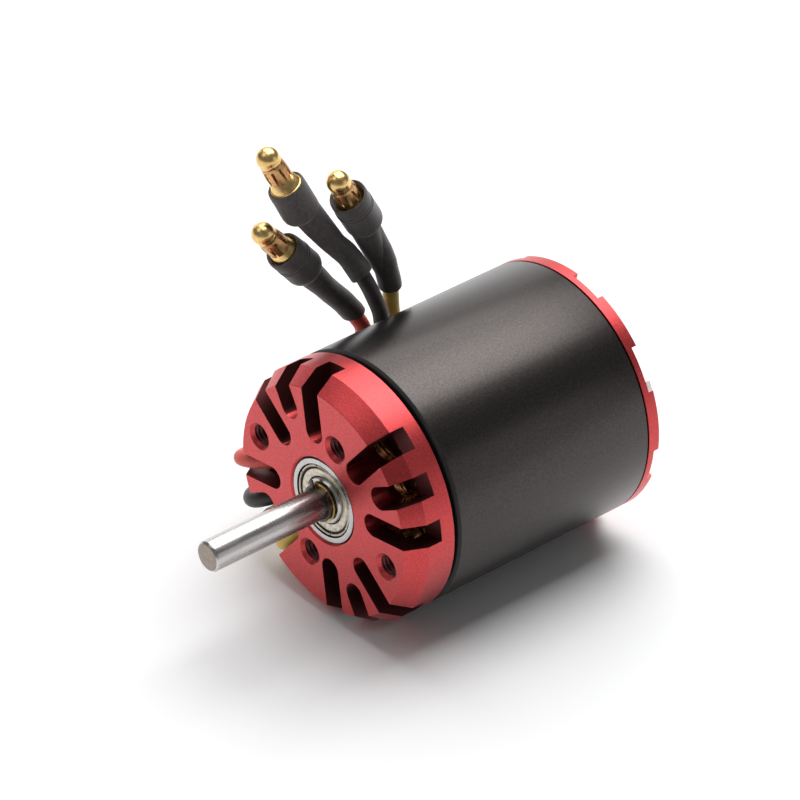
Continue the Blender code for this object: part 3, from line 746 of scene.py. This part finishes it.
def make_sleeve(colour, route, split, total):
    """The heat-shrink: a thin hose shrunk over the lead and the solder cup, a little uneven."""
    past_cup, seed, skew = SLEEVES[colour]
    mouth = total + past_cup
    shoulder = total - CUP_LENGTH
    start = split + SLEEVE_START
    low, high, slanted = start + 0.3, shoulder - 0.9, 3.0
    profile = shift(SLEEVE_LINING, LEAD_RADIUS, start)
    profile += shift(SLEEVE_END, SLEEVE_RADIUS, start)
    profile += [(SLEEVE_RADIUS, low + (high - low) * i / SLEEVE_STEPS)
                for i in range(SLEEVE_STEPS + 1)]
    profile += shift(SHOULDER_FOOT, SLEEVE_RADIUS, shoulder)
    profile += shift(SHOULDER_TOP, CUP_RADIUS, shoulder)
    if colour != "black":
        profile += shift(CUP_RIDGE, CUP_RADIUS, mouth)
    profile += shift(CUP_MOUTH, CUP_RADIUS, mouth)
    profile += shift(CUP_INSIDE, CUP_BORE, mouth)
    profile += shift(CUP_LINING, CUP_BORE, total)

    def spot(radius, angle, place):
        slant = skew * max(0.0, 1.0 - (place - start) / slanted)
        place += slant * sin(radians(angle + seed * 20))
        point, tangent, side = route.at(place)
        turn = radians(angle)
        out = side * cos(turn) + tangent.cross(side) * sin(turn)
        pace, drift, height = LUMPS
        lump = height * noise.noise(out * pace + Vector((0.0, 0.0, place * drift + seed)))
        pace, drift, height = CREASES
        crease = height * noise.noise(Vector((place * pace + seed, angle * drift, 0.0)))
        if radius > SLEEVE_RADIUS - 0.1:
            radius += lump + crease
        return point + out * radius

    return piece(f"sleeve_{colour}_shrunk", lathe(profile, SLEEVE_SIDES, spot), ["sleeve"],
                 f"sleeve_{colour}")


def connector_place(path):
    """Where a plug goes: its local y runs out of the cup."""
    aim = (path[-1] - path[-2]).normalized()
    steady = Vector((0, 1, 0)).rotation_difference(aim)
    return Matrix.Translation(AXIS @ path[-1]) @ steady.to_matrix().to_4x4()


def make_pin(colour, place):
    first, steps = -14, 12
    nose = []
    for i in range(steps):
        turn = radians(first + (90 - first) * i / steps)
        nose.append((PIN_NOSE * cos(turn), PIN_NOSE_CENTRE + PIN_NOSE * sin(turn)))
    nose.append((0, PIN_NOSE_CENTRE + PIN_NOSE))
    collar, ring, neck = PIN_COLLAR, PIN_RINGS[colour], PIN_NECK
    lower = [
        (0, -0.6), (collar, -0.6), (collar, 0.08), (collar - 0.12, 0.2),
        (ring + 0.14, 0.22), (ring, 0.30), (ring, 0.82), (ring - 0.1, 0.94),
        (1.5, 0.96), (neck, 1.02), (neck, 5.02),
        (1.50, 5.05), (1.76, 5.08), (1.82, 5.16), (1.80, 5.60),
    ]
    bm = lathe(eased(lower, 0.04, 2)[2:] + nose, SMALL)
    return piece(f"bullet_pin_{colour}_turned", bm, ["gold"], f"bullet_pin_{colour}",
                 place=place)


def make_cage(colour, place):
    """The spring cage: thin sheet rolled into a bulging tube, with a window between each two
    leaves."""
    bottom, top = CAGE_SPAN
    height = top - bottom
    band, bulge, sheet, rows = 0.42, 0.24, 0.13, 14
    heights = [bottom, bottom + band / 2]
    heights += [bottom + band + (height - 2 * band) * i / rows for i in range(rows + 1)]
    heights += [top - band / 2, top]
    angles = [360.0 / CAGE_LEAVES * (leaf + share)
              for leaf in range(CAGE_LEAVES) for share in CAGE_SHARES]
    columns = len(angles)
    bm = bmesh.new()
    outer = []
    inner = []
    for y in heights:
        radius = CAGE_RADIUS + bulge * sin(pi * (y - bottom) / height) ** 0.7
        outer.append([bm.verts.new(straight(radius, a, y)) for a in angles])
        inner.append([bm.verts.new(straight(radius - sheet, a, y)) for a in angles])

    def solid(row, column):
        if row < 0 or row >= len(heights) - 1:
            return False
        in_band = row < 2 or row >= len(heights) - 3
        return in_band or column % len(CAGE_SHARES) not in (0, len(CAGE_SHARES) - 1)

    for i in range(len(heights) - 1):
        for k in range(columns):
            if not solid(i, k):
                continue
            j, m = i + 1, (k + 1) % columns
            bm.faces.new((outer[i][k], outer[i][m], outer[j][m], outer[j][k]))
            bm.faces.new((inner[i][k], inner[j][k], inner[j][m], inner[i][m]))
            sides = (((i - 1, k), (i, k), (i, m)), ((j, k), (j, k), (j, m)),
                     ((i, k - 1), (i, k), (j, k)), ((i, m), (i, m), (j, m)))
            for beside, (a, b), (c, d) in sides:
                if not solid(*beside):
                    bm.faces.new((outer[a][b], outer[c][d], inner[c][d], inner[a][b]))
    for vert in [v for v in bm.verts if not v.link_faces]:
        bm.verts.remove(vert)
    return piece(f"spring_cage_{colour}_slotted", bm, ["gold_dark"],
                 f"spring_cage_{colour}", place=place)


def make_leads():
    for colour, (lead_route, sleeve_route) in LEADS.items():
        points = lead_route + sleeve_route
        path = smooth_path(points)
        total = path_length(path)
        split = path_length(path[:PATH_STEPS * len(lead_route) + 1])
        wire = make_wire(colour, points)
        beyond = path[-1] + (path[-1] - path[-2]).normalized() * 3.0
        sleeve = make_sleeve(colour, Route(path + [beyond]), split, total)
        place = connector_place(path)
        pin = make_pin(colour, place)
        cage = make_cage(colour, place)


# ---- front mount ----
def thread(minor, major, pitch, front, back, sides=24):
    """A threaded rod along y, closed by a point at each end."""
    count = round((back - front) / pitch) * sides
    root = []
    crest = []
    bm = bmesh.new()
    for i in range(count + 1):
        angle = 360 * i / sides
        y = front + pitch * i / sides
        root.append(bm.verts.new(straight(minor, angle, y)))
        if i <= count - sides:
            crest.append(bm.verts.new(straight(major, angle, y + pitch / 2)))
    last = len(crest) - 1
    for i in range(last):
        bm.faces.new((root[i], root[i + 1], crest[i + 1], crest[i]))
        bm.faces.new((crest[i], crest[i + 1], root[i + 1 + sides], root[i + sides]))
    ends = ((front - pitch, root[:sides + 1] + [crest[0]]),
            (back + pitch, root[last:last + sides + 1] + [crest[last]]))
    for y, loop in ends:
        tip = bm.verts.new((0.0, y, 0.0))
        for a, b in pairs(loop):
            bm.faces.new((a, b, tip))
    return bm


def mount_finish(face):
    """Which of the mount's finishes a face has: 0 the blasted red, 1 a near-black painted shade for
    the shadow in the gap under the can, 2 a darker red painted shade on slot walls, slot floors and
    threads."""
    middle = face.calc_center_median()
    out = from_axis(middle)
    # faces in the gap under the can take the near-black painted shade
    if FLANGE_BACK - 0.03 < middle.y < SPIGOT_BACK + 0.2 and out < CAN_RADIUS - 0.3:
        return 1
    from_hole = min((middle - straight(radius, angle, middle.y)).length
                    for radius, angle in HOLES)
    # threads take the darker red of painted shade
    if 0.5 < middle.y < PLATE_BACK + 0.1 and from_hole < THREAD_MAJOR + 0.05:
        return 2
    across = abs(face.normal.x * middle.z - face.normal.z * middle.x) / max(out, 0.01)
    # slot walls and slot floors take the darker red of painted shade too
    wall = across > 0.9 and 0.2 < middle.y < SLOT_FLOOR + 0.1 and out > SLOT_TIP_LONG
    floor = abs(middle.y - SLOT_FLOOR) < 0.1 and abs(face.normal.y) > 0.8
    return 2 if (wall or floor) and from_hole > HOLE_CHAMFER + 0.4 else 0


def make_front_mount():
    stop = BEARING_FRONTS["front"] + BEARING_WIDTH + STOP_GAP
    rear_stop = BEARING_FRONTS["rear"] - STOP_GAP
    profile = [
        (SEAT_RADIUS + SEAT_CHAMFER, 0.0), (FACE_RADIUS, 0.0), (CAN_RADIUS, SHOULDER_BACK),
        (CAN_RADIUS, FLANGE_BACK), (SPIGOT_RADIUS, FLANGE_BACK), (SPIGOT_RADIUS, SPIGOT_BACK),
        (CAVITY_RADIUS, SPIGOT_BACK), (CAVITY_RADIUS, PLATE_BACK),
        (TUBE_RADIUS, PLATE_BACK), (TUBE_RADIUS, TUBE_BACK), (SEAT_RADIUS, TUBE_BACK),
        (SEAT_RADIUS, rear_stop), (TUBE_BORE, rear_stop), (TUBE_BORE, stop),
        (SEAT_RADIUS, stop), (SEAT_RADIUS, SEAT_CHAMFER),
    ]
    slots = bmesh.new()
    for group in range(4):
        for step in (-1, 0, 1):
            tip = SLOT_TIP_LONG if step else SLOT_TIP_SHORT
            prism(slots, slot_outline(tip, SLOT_WIDTH, CAN_RADIUS + 2), -1.0, SLOT_FLOOR,
                  SLOT_GROUP_ANGLE + 90 * group + SLOT_SPREAD * step)
    body = carve(lathe(eased(profile, 0.09)), slots)
    soften(body, 0.11, lambda p: p.y < SLOT_FLOOR + 0.3 and from_axis(p) > SLOT_TIP_LONG - 1)

    holes = bmesh.new()
    cones = bmesh.new()
    wide = HOLE_CHAMFER
    depth = wide - THREAD_MINOR + 0.1
    cone = [(0, -0.5), (wide + 0.6, -0.5), (wide + 0.1, -0.02), (wide - 0.03, 0.07),
            (wide - depth, depth), (0, depth + 0.3)]
    for radius, angle in HOLES:
        place = Matrix.Translation(straight(radius, angle, 0.0))
        tap = thread(THREAD_MINOR, THREAD_MAJOR, THREAD_PITCH, -THREAD_OVERRUN,
                     PLATE_BACK + THREAD_OVERRUN)
        merge(holes, tap, place)
        merge(cones, lathe(cone, SMALL), place)
    body = carve(body, holes, cones)
    for face in body.faces:
        face.material_index = mount_finish(face)
    piece("front_mount_machined", body, ["red", "gap", "red_painted_shade"],
          "front_mount", flat=True)


# ---- stator ----
def core_outline(shoe_half_angle):
    foot = degrees(asin(TOOTH_HALF_WIDTH / YOKE_RADIUS))
    neck = degrees(asin(TOOTH_HALF_WIDTH / SHOE_INNER))
    side = [(SHOE_INNER, shoe_half_angle), (SHOE_INNER, neck), (YOKE_RADIUS, foot)]
    corners = [(radius, -angle) for radius, angle in reversed(side)]
    corners += [(CORE_RADIUS, shoe_half_angle * i / SHOE_STEPS)
                for i in range(-SHOE_STEPS, SHOE_STEPS + 1)]
    corners += side
    return [polar(radius, 360.0 / TOOTH_COUNT * tooth + angle)
            for tooth in range(TOOTH_COUNT) for radius, angle in corners]


def plate(outline, bore, front, back, segments=MEDIUM):
    """A flat plate of an outline of (x, z) points with a round bore."""
    bm = bmesh.new()
    loops = [[Vector((x, front, z)) for x, z in outline],
             [straight(bore, 360 * i / segments, front) for i in range(segments)]]
    edges = []
    for loop in loops:
        verts = [bm.verts.new(p) for p in loop]
        edges += [bm.edges.new(ends) for ends in pairs(verts)]
    bmesh.ops.triangle_fill(bm, use_beauty=True, edges=edges)
    grown = bmesh.ops.extrude_face_region(bm, geom=list(bm.faces))
    moved = [item for item in grown["geom"] if isinstance(item, bmesh.types.BMVert)]
    bmesh.ops.translate(bm, verts=moved, vec=(0.0, back - front, 0.0))
    return bm


def make_stator():
    stack = bmesh.new()
    pitch = (CORE_BACK - CORE_FRONT) / CORE_SHEETS
    for i in range(CORE_SHEETS):
        front = CORE_FRONT + pitch * i
        merge(stack, plate(core_outline(SHOE_HALF_ANGLE), STACK_BORE, front,
                           front + pitch - SHEET_GAP, SMALL))
    piece("stator_core_stack", stack, ["lamination"], "stator_core")
    fronts = {"insulator_front": CORE_FRONT - INSULATOR_GAP - INSULATOR_SHEET,
              "insulator_rear": CORE_BACK + INSULATOR_GAP}
    for name, front in fronts.items():
        sheet = plate(core_outline(INSULATOR_HALF_ANGLE), INSULATOR_BORE, front,
                      front + INSULATOR_SHEET)
        soften(sheet, 0.12, lambda p: from_axis(p) > CORE_BORE + 0.5, 60.0)
        piece(f"{name}_plate", sheet, ["insulator"], name)
    for tooth in range(TOOTH_COUNT):
        make_coil(f"coil_{tooth + 1:02d}", 360.0 / TOOTH_COUNT * tooth)


def coil_path():
    """One wire wound round a tooth in layers, as points of (out, y, across)."""
    half = TOOTH_HALF_WIDTH + INSULATOR_GAP
    front = CORE_FRONT - 2 * INSULATOR_GAP - INSULATOR_SHEET
    back = CORE_BACK + 2 * INSULATOR_GAP + INSULATOR_SHEET
    corner, nesting = 0.35, 0.93
    path = []
    for layer, inner in enumerate(COIL_LAYERS):
        grow = COIL_WIRE + COIL_TURN * nesting * layer
        turns = max(1, round((COIL_REACH - inner) / COIL_TURN))
        bend = corner + grow
        w, f, b = half + grow, front - grow, back + grow
        ring = []
        for y, across, first in ((b - bend, w - bend, 0), (b - bend, bend - w, 90),
                                 (f + bend, bend - w, 180), (f + bend, w - bend, 270)):
            for i in range(5):
                turn = radians(first + 22.5 * i)
                ring.append((y + bend * cos(turn), across + bend * sin(turn)))
        count = turns * len(ring)
        for i in range(count):
            share = i / count if layer % 2 == 0 else 1 - i / count
            path.append(Vector((inner + (COIL_REACH - inner) * share, *ring[i % len(ring)])))
    return path


def strand_path(angle, strand):
    """One wire end crossing in front of its coil, in the ring of wires behind the mount."""
    row, lane = divmod(strand, STRAND_LANES)
    lane_pitch, row_pitch, sink, steps = 0.5, 0.52, 2.6, 14
    path = []
    for i in range(steps + 1):
        share = i / steps
        level = sin(pi * share) ** 0.4
        feel = Vector((strand * 3.7, angle * 0.13, share * 1.6))
        sideways = 0.5 * noise.noise(feel)
        deeper = 0.35 * noise.noise(feel + Vector((9.0, 4.0, 2.0)))
        path.append(straight(STRAND_INNER + lane_pitch * lane + sideways,
                             angle + STRAND_HALF_ANGLE * (2 * share - 1),
                             STRAND_FRONT + row_pitch * row + deeper + sink * (1 - level)))
    return path


def sweep(bm, path, radius, sides):
    """A closed round wire along a path."""
    route = Route(path)
    rings = []
    for point, (tangent, side) in zip(route.path, route.frames):
        other = tangent.cross(side)
        ring = []
        for i in range(sides):
            turn = 2 * pi * i / sides
            out = side * cos(turn) + other * sin(turn)
            ring.append(bm.verts.new(point + out * radius))
        rings.append(ring)
    for a, b in zip(rings, rings[1:]):
        for i in range(sides):
            j = (i + 1) % sides
            bm.faces.new((a[i], a[j], b[j], b[i]))
    bm.faces.new(rings[0])
    bm.faces.new(list(reversed(rings[-1])))


def make_coil(name, angle):
    bm = bmesh.new()
    sweep(bm, [turn_out(angle) @ p for p in coil_path()], COIL_WIRE, 7)
    for strand in range(STRANDS):
        sweep(bm, strand_path(angle, strand), STRAND_RADIUS, 6)
    piece(f"{name}_winding", bm, ["copper"], name, sharp=60.0)


# ---- bearings ----
def race(outward, middle, steps=8):
    """The groove that the balls run in, as a part of a ring's profile."""
    points = []
    for i in range(steps + 1):
        turn = radians(60 - 120 * i / steps)
        points.append((BALL_PITCH + outward * RACE_GROOVE * cos(turn),
                       middle + RACE_GROOVE * sin(turn)))
    return points


def make_races(side, front, back):
    middle = (front + back) / 2
    lip, lip_depth = OUTER_RACE + 0.18, 0.62
    land, land_depth = OUTER_RACE - 0.32, 0.7
    outer = [(BEARING_RADIUS, front), (BEARING_RADIUS, back), (lip, back),
             (lip, back - lip_depth), (land, back - land_depth)]
    outer += race(1, middle)
    outer += [(land, front + land_depth), (lip, front + lip_depth), (lip, front)]
    body = lathe(eased(outer, 0.2, 4), MEDIUM)
    # the race's recessed lip and land take a dark painted shade
    paint(body, lambda p: from_axis(p) < lip + 0.06)
    piece(f"{side}_bearing_outer_race", body, ["bearing", "groove"],
          f"{side}_bearing_outer_ring")
    bore = SHAFT_RADIUS + SHAFT_FIT
    inner = [(bore, front), (bore, back), (INNER_RACE, back)]
    inner += race(-1, middle)
    inner += [(INNER_RACE, front)]
    piece(f"{side}_bearing_inner_race", lathe(eased(inner, 0.12), MEDIUM), ["bearing"],
          f"{side}_bearing_inner_ring")


def make_shield(side, end, y, way):
    """A pressed shield at y, going into the bearing along way, nicked where it is staked in."""
    nicks = bmesh.new()
    radius, depth, size, turn = 5.78, 0.1, (0.62, 0.62, 0.2), 0.35
    for i in range(SHIELD_NICKS):
        box(nicks, (radius, y + way * depth, 0.0), size, 360.0 / SHIELD_NICKS * (i + turn))
    shield = carve(lathe([(r, y + way * d) for r, d in SHIELD_PROFILE], MEDIUM), nicks)
    # outside the bright rings the shield takes a dark painted shade
    paint(shield, lambda p: not any(low < from_axis(p) < high for low, high in SHIELD_BRIGHT))
    piece(f"{side}_bearing_shield_{end}_pressed", shield, ["shield", "groove"],
          f"{side}_bearing_shield_{end}")


def make_ball_set(side, middle):
    """The balls and the two halves of the pressed ribbon that keeps them apart."""
    balls = bmesh.new()
    for i in range(BALL_COUNT):
        spot = Matrix.Translation(straight(BALL_PITCH, 360 * i / BALL_COUNT, middle))
        bmesh.ops.create_uvsphere(balls, u_segments=24, v_segments=16, radius=BALL_RADIUS,
                                  matrix=spot)
    ribbon = bmesh.new()
    half_width, sheet, gap, flat, steps = 0.42, 0.12, 0.06, 0.08, 16
    segments = BALL_COUNT * steps
    low, high = BALL_PITCH - half_width, BALL_PITCH + half_width
    for way in (1, -1):
        rings = []
        for i in range(segments):
            phase = (i / steps) % 1.0
            near = min(phase, 1 - phase) * 2 * pi * BALL_PITCH / BALL_COUNT
            lift = sqrt(max(0.0, (BALL_RADIUS + gap) ** 2 - near ** 2))
            y = middle + way * max(flat, lift)
            corners = (low, y), (high, y), (high, y + way * sheet), (low, y + way * sheet)
            rings.append([ribbon.verts.new(straight(radius, 360 * i / segments, place))
                          for radius, place in corners])
        for a, b in pairs(rings):
            for k in range(4):
                m = (k + 1) % 4
                ribbon.faces.new((a[k], a[m], b[m], b[k]))
    merge(balls, ribbon)
    piece(f"{side}_bearing_ball_set", balls, ["bearing"], f"{side}_bearing_balls")


def make_bearing(side):
    front = BEARING_FRONTS[side]
    back = front + BEARING_WIDTH
    make_races(side, front, back)
    make_shield(side, "front", front, 1)
    make_shield(side, "rear", back, -1)
    make_ball_set(side, (front + back) / 2)


# ---- rotor ----
def make_can():
    edge = CAN_FRONT + CAN_CHAMFER
    profile = [(CAN_BORE, CAN_FRONT), (CAN_RADIUS - CAN_CHAMFER, CAN_FRONT), (CAN_RADIUS, edge),
               (CAN_RADIUS, CAN_BACK), (CAN_BORE, CAN_BACK)]
    body = lathe(eased(profile, 0.1), FINEST)
    # the can's front face and chamfer take the near-black painted shade of the gap
    paint(body, lambda p: p.y < edge + 0.03)
    piece("rotor_can_turned", body, ["black", "gap"], "rotor_can")


def make_magnets():
    inner, outer = MAGNET_RADII
    steps = 8
    for i in range(MAGNET_COUNT):
        first = 360 * i / MAGNET_COUNT - MAGNET_ANGLE / 2
        angles = [first + MAGNET_ANGLE * k / steps for k in range(steps + 1)]
        outline = [polar(inner, a) for a in angles] + [polar(outer, a) for a in reversed(angles)]
        bm = bmesh.new()
        prism(bm, outline, *MAGNET_SPAN)
        soften(bm, 0.18, lambda p: True, 50.0)
        name = f"magnet_{i + 1:02d}"
        piece(f"{name}_plated", bm, ["magnet"], name)


def make_rear_bell():
    inner, outer = BELL_SPIGOT
    profile = [
        (BELL_BORE, BELL_HUB_FRONT), (BELL_HUB, BELL_HUB_FRONT),
        (BELL_HUB, BELL_WEB_FRONT), (inner, BELL_WEB_FRONT), (inner, BELL_SPIGOT_FRONT),
        (outer, BELL_SPIGOT_FRONT), (outer, BELL_FLANGE), (CAN_RADIUS, BELL_FLANGE),
        (CAN_RADIUS, BODY_LENGTH), (BELL_BORE, BODY_LENGTH),
    ]
    windows = bmesh.new()
    notches = bmesh.new()
    near, far = BELL_WINDOW
    from_radius, reach, cut = 14.5, 9.0, 3.0
    for quarter in range(4):
        for start in BELL_NOTCH_ANGLES:
            angle = start + 90 * quarter
            prism(windows, slot_outline(near, BELL_WINDOW_WIDTH, far), BELL_WEB_FRONT - 1,
                  BODY_LENGTH + 2, angle)
            box(notches, (from_radius + reach / 2, BELL_NOTCH_FLOOR + cut / 2, 0),
                (reach, cut, BELL_NOTCH_WIDTH), angle)
    body = carve(lathe(eased(profile, 0.12)), windows, notches)
    soften(body, 0.12, lambda p: p.y > BELL_WEB_FRONT - 0.2 and from_axis(p) > 7.0)
    bores = bmesh.new()
    start, end, wide = 1.0, BELL_WINDOW[0] + 1.0, GRUB_RADIUS + 0.1
    for angle in GRUB_ANGLES:
        along = Matrix.Translation(((start + end) / 2, GRUB_Y, 0.0))
        along = turn_out(angle) @ along @ Matrix.Rotation(radians(90), 4, "Y")
        bmesh.ops.create_cone(bores, cap_ends=True, segments=24, radius1=wide, radius2=wide,
                              depth=end - start, matrix=along)
    nick = bmesh.new()
    box(nick, (CAN_RADIUS + 0.08, BODY_LENGTH - 0.3, 0.0), (0.6, 1.3, NICK_WIDTH), NICK_ANGLE)
    body = carve(body, bores, nick)
    nick_place = straight(CAN_RADIUS, NICK_ANGLE, BODY_LENGTH - 0.4)
    paint(body, lambda p: ((p - nick_place).length < 0.6 * NICK_WIDTH
                           and from_axis(p) < CAN_RADIUS - 0.08))
    piece("rear_bell_machined", body, ["red", "bare"], "rear_bell", flat=True)


def make_grub_screws():
    start, end = GRUB_REACH
    length = end - start
    root, pitch = 1.03, 0.45
    hexagon, depth = 0.72, 1.3
    for i, angle in enumerate(GRUB_ANGLES):
        screw = thread(root, GRUB_RADIUS, pitch, 0.0, length, 20)
        trim = bmesh.new()
        box(trim, (0, -1.0, 0), (4, 2, 4), 0)
        box(trim, (0, length + 1.0, 0), (4, 2, 4), 0)
        socket = bmesh.new()
        prism(socket, [polar(hexagon, 60 * k) for k in range(6)], length - depth, length + 1.0)
        screw = carve(screw, trim, socket)
        lay = Matrix.Translation((start, GRUB_Y, 0.0)) @ Matrix.Rotation(radians(-90), 4, "Z")
        screw.transform(turn_out(angle) @ lay)
        piece(f"grub_screw_{i + 1}_threaded", screw, ["black_steel"],
              f"grub_screw_{i + 1}")


def make_shaft():
    tip = SHAFT_RADIUS - SHAFT_CHAMFER
    profile = [
        (0, -SHAFT_FREE + 0.03), (0.5, -SHAFT_FREE), (tip, -SHAFT_FREE),
        (SHAFT_RADIUS, -SHAFT_FREE + SHAFT_CHAMFER), (SHAFT_RADIUS, SHAFT_BACK - SHAFT_CHAMFER),
        (tip, SHAFT_BACK), (0, SHAFT_BACK),
    ]
    body = lathe(eased(profile, 0.06), MEDIUM)
    # the end faces take the darker, browner steel of painted reflection
    paint(body, lambda p: not -SHAFT_FREE + 0.04 < p.y < SHAFT_BACK - 0.04)
    piece("shaft_ground", body, ["steel", "steel_end"], "shaft")


def make_clip_and_shim():
    """The circlip, with a lug at each of its ends, and the washer behind it."""
    sides, lug_steps = 40, 10
    spread = 360.0 - CLIP_OPENING
    first = CLIP_MIDDLE - spread / 2
    last = first + spread
    lugs = []
    for i in range(lug_steps + 1):
        share = i / lug_steps
        lift = sin(pi * min(1.0, share * 0.62 + 0.38)) ** 0.7
        lugs.append((CLIP_LUG_ANGLE * share, CLIP_BAND + (CLIP_LUG - CLIP_BAND) * lift))
    plain = spread - 2 * CLIP_LUG_ANGLE
    outline = [polar(CLIP_BORE, first + spread * i / sides) for i in range(sides + 1)]
    outline += [polar(radius, last - angle) for angle, radius in lugs]
    outline += [polar(CLIP_BAND, last - CLIP_LUG_ANGLE - plain * i / sides)
                for i in range(1, sides)]
    outline += [polar(radius, first + angle) for angle, radius in reversed(lugs)]
    bm = bmesh.new()
    prism(bm, outline, *CLIP_SPAN)
    soften(bm, 0.06, lambda p: True, 60.0)
    piece("retaining_clip_sprung", bm, ["black_steel"], "retaining_clip")
    front, back = SHIM_SPAN
    ring = [(CLIP_BORE, front), (SHIM_RADIUS, front), (SHIM_RADIUS, back), (CLIP_BORE, back)]
    piece("shim_washer_turned", lathe(eased(ring, 0.05), MEDIUM), ["brass"],
          "shim_washer")


def main():
    make_camera()
    make_leads()
    make_studio()
    make_floor()
    make_front_mount()
    make_stator()
    make_bearing("front")
    make_bearing("rear")
    make_can()
    make_magnets()
    make_rear_bell()
    make_grub_screws()
    make_shaft()
    make_clip_and_shim()


main()
